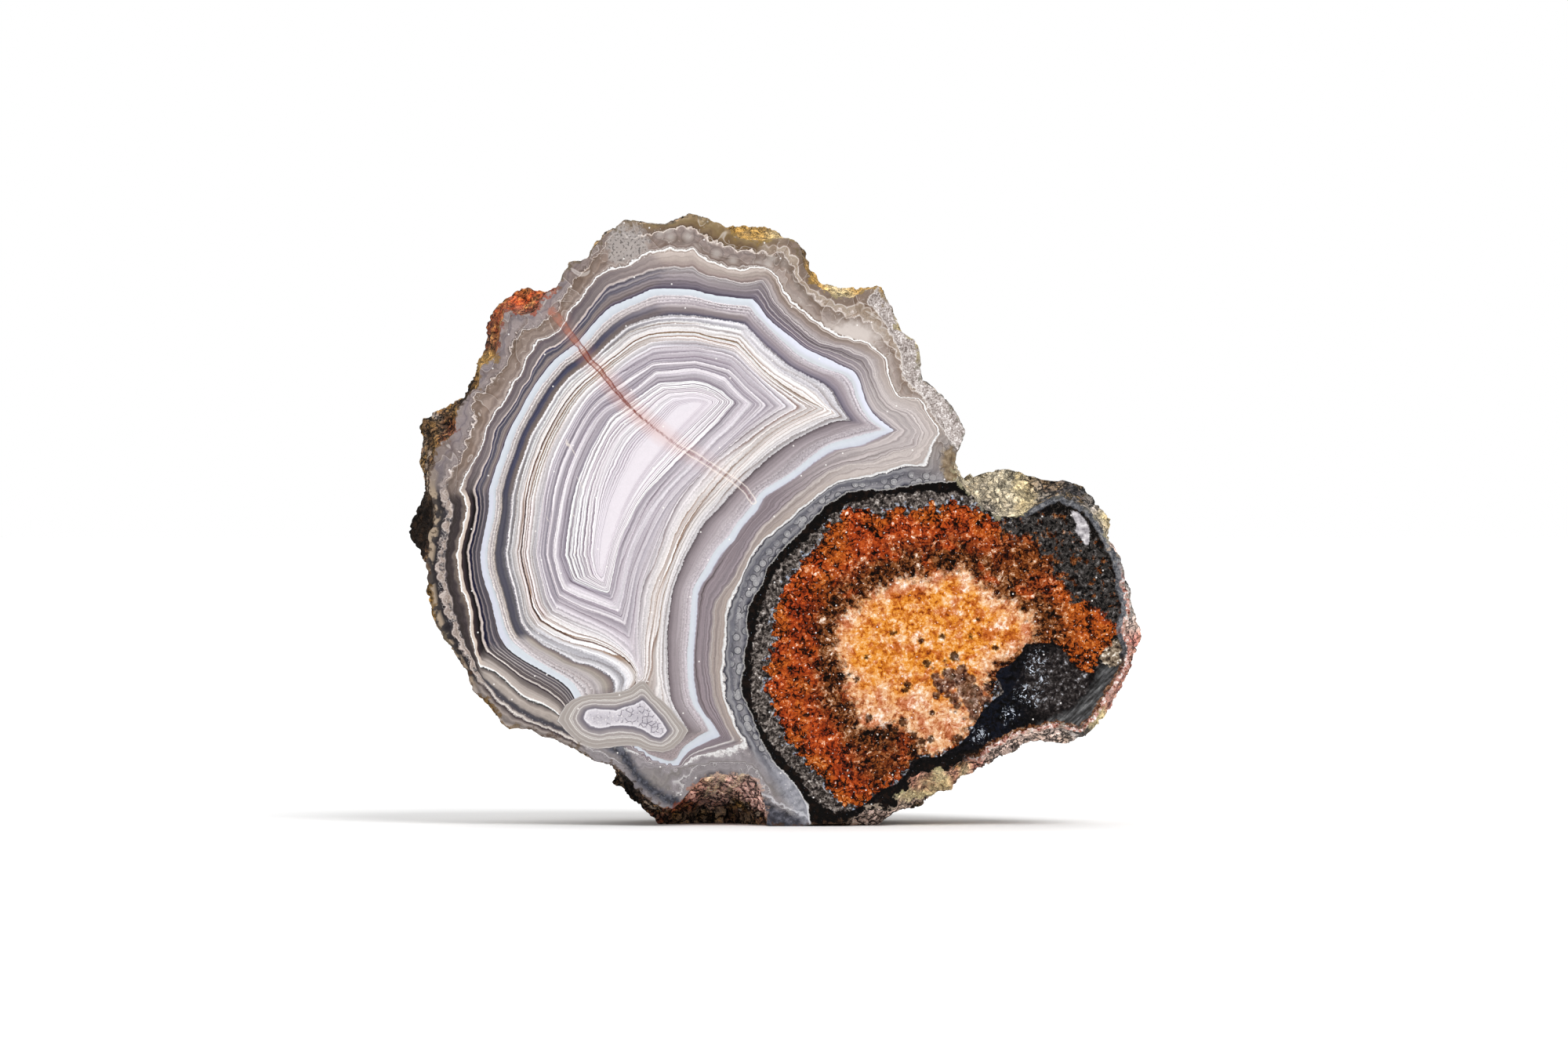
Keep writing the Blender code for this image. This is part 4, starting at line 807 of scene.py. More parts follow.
def smooth_step(value, start, end):
    """0 up to the start and 1 from the end, with a soft rise between them."""
    share = np.clip((value - start) / (end - start), 0, 1)
    return share * share * (3 - 2 * share)


def deselect_all():
    for obj in bpy.context.selected_objects:
        obj.select_set(False)


def curve_through(points, count):
    """A smooth curve through the points, as this many even steps without its end."""
    line = np.array(points, float)
    if len(line) > 2:
        padded = np.vstack([2 * line[0] - line[1], line, 2 * line[-1] - line[-2]])
        t = np.linspace(0, 1, ARC_STEPS, endpoint=False)[:, None]
        arcs = []
        for a, b, c, d in zip(padded, padded[1:], padded[2:], padded[3:]):
            bend = 2 * a - 5 * b + 4 * c - d + t * (3 * b - a - 3 * c + d)
            arcs.append(b + t * ((c - a) + t * bend) / 2)
        line = np.vstack(arcs + [line[-1:]])
    along = np.concatenate([[0], np.cumsum(np.hypot(*np.diff(line, axis=0).T) + TINY)])
    even = np.linspace(0, along[-1], count, endpoint=False)
    return np.column_stack([np.interp(even, along, line[:, k]) for k in (0, 1)])


def zone_shares(turns):
    """How much of each zone there is at each place along the bands, as factors that mix them one by one."""
    shares = []
    for start, end in ZONES.values():
        share = 0
        blur, end_blur = BORDER_BLUR[start % CORNERS], BORDER_BLUR[end % CORNERS]
        for turn in (turns, turns - CORNERS, turns + CORNERS):
            rise = smooth_step(turn, start - blur, start + blur)
            fall = smooth_step(turn, end - end_blur, end + end_blur)
            share = np.maximum(share, rise * (1 - fall))
        shares.append(share)
    shares = np.column_stack(shares)
    return shares / np.maximum(np.cumsum(shares, axis=1), TINY)


def banding_points(points):
    """For each (x, z): its level among the bands, and its share in each zone round them."""
    rings = []
    for sides in BANDS.values():
        ring = []
        for number, side in enumerate(sides):
            onward = sides[(number + 1) % len(sides)][0]
            ring.append(curve_through([*side, onward], SIDE_STEPS[number]))
        rings.append(np.vstack(ring + [ring[0][:1]]))
    turns = np.concatenate([number + np.arange(n) / n for number, n in enumerate(SIDE_STEPS)] + [[CORNERS]])
    size = len(turns)
    web = np.array([at(p) for ring in rings for p in ring])
    levels = np.repeat(np.arange(len(rings)), size).astype(float)
    shares = np.tile(zone_shares(turns), (len(rings), 1))
    triangles = []
    for ring in range(len(rings) - 1):
        for step in range(size - 1):
            a = ring * size + step
            b, c, d = a + 1, a + size + 1, a + size
            triangles += [(a, b, c), (a, c, d)]
    triangles = np.array(triangles)
    tree = BVHTree.FromPolygons([Vector((x, z, 0)) for x, z in web], triangles.tolist())
    found = [tree.find_nearest(Vector((x, z, 0))) for x, z in points]
    places = np.array([hit[0][:2] for hit in found])
    corners = triangles[[hit[2] for hit in found]]
    a, b, c = (web[corners[:, k]] for k in range(3))
    across, up, arm = b - a, c - a, places - a
    area = across[:, 0] * up[:, 1] - across[:, 1] * up[:, 0]
    area = np.where(np.abs(area) < TINY ** 2, TINY, area)
    second = (arm[:, 0] * up[:, 1] - arm[:, 1] * up[:, 0]) / area
    third = (across[:, 0] * arm[:, 1] - across[:, 1] * arm[:, 0]) / area
    weights = np.clip(np.column_stack([1 - second - third, second, third]), 0, 1)
    band = (levels[corners] * weights).sum(1)
    return band, (shares[corners] * weights[:, :, None]).sum(1)


def gap_to_line(points, line, closed=True):
    """How many millimetres each (x, z) is from a line of photograph points, and how far along that is."""
    starts = np.array([at(p) for p in line])
    ends = np.roll(starts, -1, 0)
    if not closed:
        starts, ends = starts[:-1], ends[:-1]
    best = np.full(len(points), np.inf)
    where = np.zeros(len(points))
    for number, (a, b) in enumerate(zip(starts, ends)):
        arm = b - a
        share = np.clip((points - a) @ arm / (arm @ arm), 0, 1)
        gap = np.hypot(*(points - a - share[:, None] * arm).T)
        nearer = gap < best
        best[nearer] = gap[nearer]
        where[nearer] = (number + share)[nearer]
    return best / MM, where / len(starts)


def is_inside(points, line):
    """Whether each (x, z) lies inside the closed line of (x, z) points."""
    inside = np.zeros(len(points), bool)
    x, z = points.T
    for (ax, az), (bx, bz) in zip(line, np.roll(line, -1, 0)):
        if az != bz:
            inside ^= ((az > z) != (bz > z)) & (x < (bx - ax) * (z - az) / (bz - az) + ax)
    return inside


def depth_inside(points, outline):
    """How many millimetres each (x, z) lies inside a closed line of photograph points, below 0 outside."""
    gap, _ = gap_to_line(points, outline)
    return np.where(is_inside(points, np.array([at(p) for p in outline])), gap, -gap)


def copy_of_stone():
    """A copy of the solid with its loose triangles merged, its flat polish taken off, the rest refined."""
    deselect_all()
    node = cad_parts[STONE]
    node.select_set(True)
    bpy.context.view_layer.objects.active = node
    bpy.ops.object.duplicate()
    stone = bpy.context.view_layer.objects.active
    stone.parent = None
    stone.name = "agate_stone"
    bpy.ops.object.mode_set(mode="EDIT")
    bpy.ops.mesh.select_all(action="SELECT")
    bpy.ops.mesh.remove_doubles(threshold=TINY)
    bpy.ops.mesh.select_mode(type="FACE")
    mesh = bmesh.from_edit_mesh(stone.data)
    for face in mesh.faces:
        face.select_set(all(abs(v.co.y - FACE) < FLATNESS for v in face.verts))
    bmesh.update_edit_mesh(stone.data)
    bpy.ops.mesh.delete(type="FACE")
    bpy.ops.mesh.select_all(action="SELECT")
    for _ in range(REFINEMENTS):
        bpy.ops.mesh.subdivide(number_cuts=1, smoothness=ROUNDNESS)
    bpy.ops.object.mode_set(mode="OBJECT")
    return stone


def crust_height(point):
    """How far the rough surface stands at a point: lumps, pits and grains of each scale."""
    height = 0.0
    for size, most in CRUST_GRAINS:
        near, next_near = noise.voronoi(point / size)[0][:2]
        height += most * (LUMP_SHARE * noise.noise(point / size) - PIT_SHARE * near)
        if next_near - near < CREASE_WIDTH:
            height -= most * CREASE_SHARE
    return height


def roughen(mesh):
    """Grains and pits over the rind. The polish's edge stays flat, and nothing leaves the solid's box."""
    mesh.normal_update()
    moves = []
    for v in mesh.verts:
        off_foot = smooth_step(v.co.z, FOOT_FLAT, FOOT_FADE)
        share = float(smooth_step(v.co.y - FACE, 0, CRUST_FADE) * off_foot)
        outward = Vector((v.normal.x, 0, v.normal.z)).normalized()
        edge_share = RIM_GRAINS * float(off_foot) * (1 - share)
        moves.append((v, (v.normal * share + outward * edge_share) * crust_height(v.co)))
    for v, move in moves:
        at_edge = v.is_boundary
        v.co += move
        v.co.y = FACE if at_edge else max(v.co.y, FACE + TINY)
        v.co = [min(max(c, low), high) for c, low, high in zip(v.co, cad_low, cad_high)]


def rim_of(mesh):
    """The polish's edge as its points in order."""
    edge = next(e for e in mesh.edges if e.is_boundary)
    start, v = edge.verts
    loop = [start]
    while v is not start:
        loop.append(v)
        edge = next(e for e in v.link_edges if e.is_boundary and e is not edge)
        v = edge.other_vert(v)
    return loop


def gaps_to_rim(points, rim):
    """How far each (x, z) is from the closed rim, in the file's own units."""
    links = [(i, (i + 1) % len(rim), i) for i in range(len(rim))]
    tree = BVHTree.FromPolygons([Vector((x, z, 0)) for x, z in rim], links)
    return np.array([tree.find_nearest(Vector((x, z, 0)))[3] for x, z in points])


def fill_polish(mesh):
    """The flat polish as an even web of small triangles out to its edge."""
    loop = rim_of(mesh)
    rim = np.array([(v.co.x, v.co.z) for v in loop])
    low, high = rim.min(0), rim.max(0)
    rows = np.arange(low[1], high[1], GRID * ROW_SPACING)
    columns = np.arange(low[0], high[0], GRID)
    spots = np.array([(x + (n % 2) * GRID / 2, z) for n, z in enumerate(rows) for x in columns])
    spots = spots[is_inside(spots, rim)]
    spots = spots[gaps_to_rim(spots, rim) > EDGE_GAP]
    flat = [Vector(p) for p in [*rim, *spots]]
    edges = [(i, (i + 1) % len(loop)) for i in range(len(loop))]
    coords, _, faces, origins, _, _ = geometry.delaunay_2d_cdt(flat, edges, [], 1, TINY / 10)
    points = []
    for spot, origin in zip(coords, origins):
        if origin and origin[0] < len(loop):
            points.append(loop[origin[0]])
        else:
            points.append(mesh.verts.new((spot.x, FACE, spot.y)))
    for face in faces:
        corners = {points[i]: None for i in face}
        if len(corners) == len(face):
            made = mesh.faces.new(corners)
            made.normal_update()
            if made.normal.y > 0:
                made.normal_flip()
            made.material_index = 0
            made.smooth = False


def face_values(flat, rim):
    """What the polish's material reads at each (x, z) of the face, by name, in millimetres or levels."""
    band, zones = banding_points(flat)
    values = {name: depth_inside(flat, outline) for name, outline in REGIONS.items()}
    outer, inner = values["pocket"], values.pop("quartz")
    layers = np.where(inner > 0, 1 + inner, outer / np.maximum(outer - inner, TINY))
    values["pocket"] = np.where(outer > 0, layers, outer)
    values["band"] = band
    values["edge"] = gaps_to_rim(flat, rim) / MM
    values["scratch"] = np.min([gap_to_line(flat, line, closed=False)[0] for line in SCRATCHES], axis=0)
    for name, circles in (("spots", SPOTS), ("glints", GLINTS)):
        gaps = [np.hypot(*(flat - at((x, y))).T) - r * PIXEL for x, y, r in circles]
        values[name] = np.min(gaps, axis=0) / MM
    gap, along = gap_to_line(flat, CRACK, closed=False)
    values["crack"] = np.column_stack([gap, along, 0 * along])
    values["zones_one"] = zones[:, 1:4]
    values["zones_two"] = zones[:, 4:7]
    return values


def soft_wander(place):
    """Soft noise in each direction at a place, from -1 to 1 and the same in each run."""
    return [noise.noise(place + Vector(shift)) for shift in NOISE_SHIFTS]


def crust_tints(points):
    """The crust's colour at each point, from the patches near the polished edge."""
    tints = np.tile(np.array(colour("crust")[:3]) * PLAIN_SHARE, (len(points), 1))
    total = np.full(len(points), PLAIN_SHARE)
    wander = np.array([soft_wander(Vector(p) / PATCH_SWIRL) for p in points]) * PATCH_SWAY
    deep = np.clip((points[:, 1] - FACE) / PATCH_DEPTH, 0, 1) ** 2
    places = points + wander * deep[:, None]
    depth = np.exp(-((places[:, 1] - FACE) / PATCH_DEPTH) ** 2)
    for x, y, reach, name in CRUST_PATCHES:
        away = places[:, [0, 2]] - at((x, y))
        weight = np.exp(-(away ** 2).sum(1) / (reach * PIXEL) ** 2) * depth
        tints += weight[:, None] * np.array(colour(name)[:3])
        total += weight
    return tints / total[:, None]


def lay_attributes(stone, rim):
    """Stores what the materials read at each point of the mesh."""
    points = np.array([v.co for v in stone.data.vertices])
    on_face = points[:, 1] < FACE + 2 * TINY
    values = {}
    for name, found in face_values(points[on_face][:, [0, 2]], rim).items():
        values[name] = np.full((len(points), *found.shape[1:]), OFF_FACE, np.float32)
        values[name][on_face] = found
    values["crust_tint"] = crust_tints(points).astype(np.float32)
    for name, numbers in values.items():
        kind, field = ("FLOAT", "value") if numbers.ndim == 1 else ("FLOAT_VECTOR", "vector")
        stone.data.attributes.new(name, kind, "POINT").data.foreach_set(field, numbers.ravel())


class Tree:
    """Adds nodes to one node tree and joins them."""

    def __init__(self, tree):
        self.tree = tree

    def node(self, kind, **settings):
        made = self.tree.nodes.new(kind)
        for name, value in settings.items():
            setattr(made, name, value)
        return made

    def put(self, socket, value):
        if isinstance(value, bpy.types.NodeSocket):
            self.tree.links.new(value, socket)
        else:
            socket.default_value = value

    def attribute(self, name, output="Fac"):
        return self.node("ShaderNodeAttribute", attribute_name=name).outputs[output]

    def math(self, operation, *values):
        made = self.node("ShaderNodeMath", operation=operation)
        for socket, value in zip(made.inputs, values):
            self.put(socket, value)
        return made.outputs[0]

    def add(self, a, b):
        return self.math("ADD", a, b)

    def minus(self, a, b):
        return self.math("SUBTRACT", a, b)

    def times(self, first, *others):
        for other in others:
            first = self.math("MULTIPLY", first, other)
        return first

    def most(self, first, *others):
        for other in others:
            first = self.math("MAXIMUM", first, other)
        return first

    def line(self, value, slope, start):
        """The start plus the slope times the value."""
        return self.math("MULTIPLY_ADD", value, slope, start)

    def sway(self, value, *moves):
        """The value moved by each source's distance from its middle, 0.5, times the amount after it."""
        for source, amount in zip(moves[::2], moves[1::2]):
            value = self.line(self.minus(source, 0.5), amount, value)
        return value

    def step(self, value, start, end):
        """0 at start and 1 at end, straight in between."""
        made = self.node("ShaderNodeMapRange", clamp=True)
        self.put(made.inputs["Value"], value)
        made.inputs["From Min"].default_value = start
        made.inputs["From Max"].default_value = end
        return made.outputs["Result"]

    def near(self, value, middle, reach):
        """1 where the value is the middle one, 0 from this far off it."""
        return self.step(self.math("ABSOLUTE", self.minus(value, middle)), reach, 0.0)

    def mix(self, factor, a, b):
        made = self.node("ShaderNodeMix", data_type="RGBA")
        for socket, value in zip((made.inputs[0], made.inputs[6], made.inputs[7]), (factor, a, b)):
            self.put(socket, value)
        return made.outputs[2]

    def paint(self, base, mask, strength, name):
        """The base with a plain colour over it, as strong as the mask times the strength."""
        return self.mix(self.times(mask, strength), base, colour(name))

    def vectors(self, operation, a, b):
        made = self.node("ShaderNodeVectorMath", operation=operation)
        self.put(made.inputs[0], a)
        self.put(made.inputs["Scale" if operation == "SCALE" else 1], b)
        return made.outputs["Value" if operation == "DISTANCE" else "Vector"]

    def scaled(self, base, factor):
        return self.vectors("SCALE", base, factor)

    def distance(self, a, b):
        return self.vectors("DISTANCE", a, b)

    def vector(self, x, y, z):
        made = self.node("ShaderNodeCombineXYZ")
        for socket, value in zip(made.inputs, (x, y, z)):
            self.put(socket, value)
        return made.outputs[0]

    def split(self, vector):
        made = self.node("ShaderNodeSeparateXYZ")
        self.put(made.inputs[0], vector)
        return made.outputs

    def noise(self, vector, scale, detail=2.0, rough=0.5, warp=0.0, output="Fac"):
        made = self.node("ShaderNodeTexNoise")
        self.put(made.inputs["Vector"], vector)
        made.inputs["Scale"].default_value = scale
        made.inputs["Detail"].default_value = detail
        made.inputs["Roughness"].default_value = rough
        made.inputs["Distortion"].default_value = warp
        return made.outputs[output]

    def bent(self, place, scale, detail, reach):
        """The place moved about by soft noise, up to half the reach each way."""
        moves = self.vectors("SUBTRACT", self.noise(place, scale, detail, output="Color"), (0.5, 0.5, 0.5))
        return self.vectors("ADD", place, self.scaled(moves, reach))

    def cells(self, vector, scale, feature="F1", output="Distance", flat=True):
        made = self.node("ShaderNodeTexVoronoi", feature=feature, voronoi_dimensions="2D" if flat else "3D")
        self.put(made.inputs["Vector"], vector)
        made.inputs["Scale"].default_value = scale
        return made.outputs[output]

    def ramp(self, value, stops):
        """A colour by value from up to 32 stops of (place, colour or number), between the outer places."""
        low, high = stops[0][0], stops[-1][0]
        made = self.node("ShaderNodeValToRGB")
        band = made.color_ramp
        points = [band.elements[0]]
        points += [band.elements.new((place - low) / (high - low)) for place, _ in stops[1:-1]]
        points.append(band.elements[-1])
        for point, (_, name) in zip(points, stops):
            if isinstance(name, str):
                name = colour(name)
            point.color = name if isinstance(name, tuple) else (name, name, name, 1)
        self.put(made.inputs[0], self.step(value, low, high))
        return made.outputs[0]

    def span(self, level, start, full, fading, end, most=1.0):
        """By level in the banding: 0 up to the start, the most from full to fading, and 0 from the end."""
        stops = [(0.0, 0.0), (start, 0.0), (full, most), (fading, most), (end, 0.0), (LAST_LEVEL, 0.0)]
        return self.ramp(level, stops)

    def long_ramp(self, value, stops):
        """A colour by value from any number of stops, as ramps joined end to end."""
        result = self.ramp(value, stops[:RAMP_STOPS])
        for start in range(RAMP_STOPS - 1, len(stops) - 1, RAMP_STOPS - 1):
            here = self.math("GREATER_THAN", value, stops[start][0])
            result = self.mix(here, result, self.ramp(value, stops[start:start + RAMP_STOPS]))
        return result

    def tones(self, value, name):
        """A mineral's colour, from its dark gaps at 0 to its bright flecks at 1."""
        names = TONES[name]
        return self.ramp(value, [(n / (len(names) - 1), tone) for n, tone in enumerate(names)])


def grain_group():
    """The uneven grain that both surfaces share: three sizes of cloudiness over the stone."""
    group = bpy.data.node_groups.new("stone_grain", "ShaderNodeTree")
    group.interface.new_socket("Place", in_out="INPUT", socket_type="NodeSocketVector")
    for name in ("Slow", "Middle", "Fine"):
        group.interface.new_socket(name, in_out="OUTPUT", socket_type="NodeSocketFloat")
    t = Tree(group)
    place = t.node("NodeGroupInput").outputs["Place"]
    outputs = t.node("NodeGroupOutput").inputs
    for name, scale, detail in (("Slow", 0.3, 2.0), ("Middle", 1.4, 3.0), ("Fine", 4.6, 3.0)):
        t.put(outputs[name], t.noise(place, scale, detail, 0.6))
    return group


def new_material(name):
    """A material with its tree and its shader."""
    material = bpy.data.materials.new(name)
    material.use_nodes = True
    return material, Tree(material.node_tree), material.node_tree.nodes["Principled BSDF"]


def grain_of(t, group):
    """The piece's own coordinates in millimetres, and the shared grain there."""
    spot = t.scaled(t.node("ShaderNodeTexCoord").outputs["Object"], 1 / MM)
    made = t.node("ShaderNodeGroup", node_tree=group)
    t.put(made.inputs["Place"], spot)
    return spot, made.outputs["Slow"], made.outputs["Middle"], made.outputs["Fine"]


def set_surface(t, shader, base, roughness, specular):
    t.put(shader.inputs["Base Color"], base)
    t.put(shader.inputs["Roughness"], roughness)
    shader.inputs["Specular IOR Level"].default_value = specular


def set_relief(t, shader, strength, depth, height):
    """Small relief in the shading. The depth is in metres, and the height is a value over the surface."""
    bump = t.node("ShaderNodeBump")
    bump.inputs["Strength"].default_value = strength
    bump.inputs["Distance"].default_value = depth
    t.put(bump.inputs["Height"], height)
    t.put(shader.inputs["Normal"], bump.outputs[0])


def laminae(t, level, x, z, per_level):
    """Thin lines that follow the level, this many to each, and fade in and out along their length."""
    place = t.vector(t.times(level, per_level), t.times(x, 0.05), t.times(z, 0.05))
    return t.step(t.noise(place, 1.0, 1.0), 0.45, 0.55)


def with_teeth(t, base, level, flat):
    """Lines along the bands: each starts crisp and pale outside, and darkens inwards to a sharp end."""
    x, z, _ = t.split(flat)
    most = TEETH[-1][1]
    count = t.times(t.ramp(level, [(place, number / most) for place, number in TEETH]), most)
    drift = t.noise(t.vector(t.times(level, 2.7), t.times(x, 0.02), t.times(z, 0.02)), 1.0, 1)
    count = t.sway(count, t.noise(flat, 0.07, 1), 3.0, drift, 1.4)
    part = t.math("FRACT", count)
    which = t.times(t.math("FLOOR", count), 7.31)
    strength = t.noise(t.vector(which, t.times(x, 0.06), t.times(z, 0.06)), 1.0, 1)
    strength = t.times(t.step(strength, 0.3, 0.65), t.ramp(level, TEETH_STRENGTH))
    dark = t.times(t.ramp(part, TOOTH_DARK), strength)
    pale = t.times(t.ramp(part, TOOTH_PALE), strength, 0.8)
    base = t.mix(dark, base, t.vectors("MULTIPLY", base, t.ramp(level, TEETH_TINTS)))
    return t.mix(pale, base, t.scaled(base, 1.22))


def banded_colour(t, flat, slow, middle, fine):
    """The colour of the main lobe's banding."""
    x, z, _ = t.split(flat)
    plain = t.attribute("band")
    sugar = t.ramp(plain, SUGAR)
    factors = [*t.split(t.attribute("zones_one", "Vector")), *t.split(t.attribute("zones_two", "Vector"))]
    bumps = t.minus(0.4, t.cells(flat, 0.85))
    ripple = t.times(t.ramp(plain, RIPPLES), t.line(factors[-1], -0.28, 0.42))
    level = t.line(bumps, ripple, plain)
    level = t.sway(level, slow, 0.10, middle, 0.07, fine, t.times(sugar, 0.2))
    result = t.long_ramp(level, crisper(LAYERS["left"]))
    for name, factor in zip(list(ZONES)[1:], factors):
        result = t.mix(factor, result, t.long_ramp(level, crisper(LAYERS[name])))
    # The bands are paler towards the right tip.
    tip = t.span(level, 2.1, 2.25, 3.85, 3.97, 0.65)
    tip = t.times(tip, t.times(t.step(x, 0.0, 12.0), t.step(z, 63.0, 54.0)))
    result = t.mix(tip, result, colour("c8bfbc"))
    # They are browner where they narrow between the tip and the side lobe.
    neck = t.times(t.step(x, 16.0, 20.5), t.step(z, 43.0, 47.0), t.step(level, 1.97, 1.9))
    result = t.paint(result, neck, 0.55, "a2968e")
    lines = t.add(t.times(laminae(t, level, x, z, 8), 1.2), t.times(laminae(t, level, x, z, 21), 0.8))
    shade = t.line(t.minus(lines, 1.0), t.ramp(plain, LAMINAE), 1.0)
    shade = t.sway(shade, fine, t.times(sugar, 1.3), middle, t.ramp(plain, CLOUDS))
    return with_teeth(t, t.scaled(result, shade), level, flat), factors


def with_pearls(t, base, flat, middle, moss_side):
    """Round pearls of chalcedony in the outer bands beside the side lobe."""
    _, z, _ = t.split(flat)
    level = t.attribute("band")
    small = t.cells(flat, 0.95)
    which, _, _ = t.split(t.cells(flat, 0.95, output="Color"))
    chain = t.times(t.span(level, 0.15, 0.35, 1.1, 1.5), moss_side, t.step(which, 0.15, 0.5))
    base = t.paint(base, t.near(small, 0.46, 0.12), t.times(chain, 0.8), "37373c")
    base = t.paint(base, t.step(small, 0.36, 0.08), t.times(chain, 0.75), "aeadad")
    base = t.paint(base, t.near(small, 0.33, 0.06), t.times(chain, 0.5), "d2d0cf")
    # They end at the foot in a clear pale tongue with a white outline.
    tongue = t.times(moss_side, t.step(z, 9.5, 6.5))
    clear = t.ramp(level, CLEAR_TONGUE)
    base = t.mix(t.times(clear, tongue), base, t.ramp(middle, SHADES["tongue"]))
    return t.paint(base, t.near(t.sway(level, middle, 0.3), 0.1, 0.09), tongue, "dadadf")


def with_veils(t, base, flat, middle, clear, top, upper_right):
    """Veils, folds and bubble rings in the clear outer zone."""
    level = t.attribute("band")
    veil = t.noise(flat, 0.16, 2, 0.5, 1.2)
    fold = t.times(t.step(veil, 0.47, 0.478), t.step(veil, 0.6, 0.48), clear)
    base = t.mix(t.times(fold, 0.6), base, t.vectors("MULTIPLY", base, colour("veil")[:3]))
    base = t.paint(base, t.near(veil, 0.466, 0.008), t.times(clear, 0.6), "cbc1ba")
    large = t.cells(flat, 0.5)
    ring = t.times(t.span(level, 1.02, 1.15, 1.7, 1.85), t.most(top, t.times(upper_right, 0.3)))
    base = t.paint(base, t.step(large, 0.4, 0.1), t.times(ring, 0.5), "bdb6b0")
    base = t.paint(base, t.near(large, 0.43, 0.06), t.times(ring, 0.45), "5f5955")
    bubbles = t.times(t.near(t.cells(flat, 0.62), 0.33, 0.05), t.step(middle, 0.54, 0.62))
    return t.paint(base, t.times(bubbles, clear), 0.45, "cbc2bb")


def with_patches(t, base, flat, middle, left):
    """A speckled patch and a pale smear at the top, and the ribbon and blotches of the left side."""
    level = t.attribute("band")
    patch = t.step(t.sway(t.distance(flat, SPECKLED_PATCH), middle, 4.0), 3.0, 2.2)
    patch = t.times(patch, t.step(level, 1.95, 1.8))
    base = t.paint(base, patch, 0.6, "b3adaa")
    base = t.paint(base, t.times(t.step(t.noise(flat, 3.0, 1), 0.56, 0.62), patch), 0.7, "4c4745")
    smear = t.distance(t.vectors("MULTIPLY", flat, SMEAR_SHAPE), SMEAR)
    smear = t.times(t.step(t.sway(smear, middle, 2.2), 2.4, 1.0), t.step(level, 1.99, 1.93))
    base = t.paint(base, smear, 0.8, "d3c9c3")
    ribbon = t.times(t.span(level, 0.68, 0.74, 1.1, 1.2), left)
    gaps = t.times(t.step(t.noise(flat, 0.7, 3, 0.6), 0.47, 0.43), ribbon)
    base = t.paint(base, gaps, 0.8, "3f3d42")
    grains = t.times(t.near(t.cells(flat, 1.5), 0.3, 0.08), ribbon)
    base = t.paint(base, grains, 0.5, "cfc6c0")
    blotch = t.times(t.step(t.noise(flat, 0.42, 3), 0.49, 0.53), t.times(t.step(level, 0.62, 0.45), left))
    return t.paint(base, blotch, 0.8, "ae9b86")


def lobe_colour(t, flat, slow, middle, fine):
    """The main lobe: its banding and what lies in the outer bands."""
    base, factors = banded_colour(t, flat, slow, middle, fine)
    upper_left, top, upper_right, moss_side, bottom, lower_left = factors
    level = t.attribute("band")
    clear = t.times(t.ramp(level, CLEAR_ZONE), t.most(upper_left, top, upper_right))
    left = t.minus(1.0, t.most(clear, moss_side, t.add(bottom, lower_left)))
    base = with_pearls(t, base, flat, middle, moss_side)
    base = with_veils(t, base, flat, middle, clear, top, upper_right)
    base = with_patches(t, base, flat, middle, left)
    # Glints of quartz grains along the druzy lines.
    glint = t.step(t.cells(flat, 1.7), 0.13, 0.06)
    return t.paint(base, glint, t.ramp(level, DRUZY_GLINTS), "white")


def with_ridges(t, flat, scale, width, detail=1.5):
    """Hair-thin tangled filaments: 1 along them, 0 between."""
    return t.near(t.noise(flat, scale, detail, 0.6, 0.4), 0.5, width)


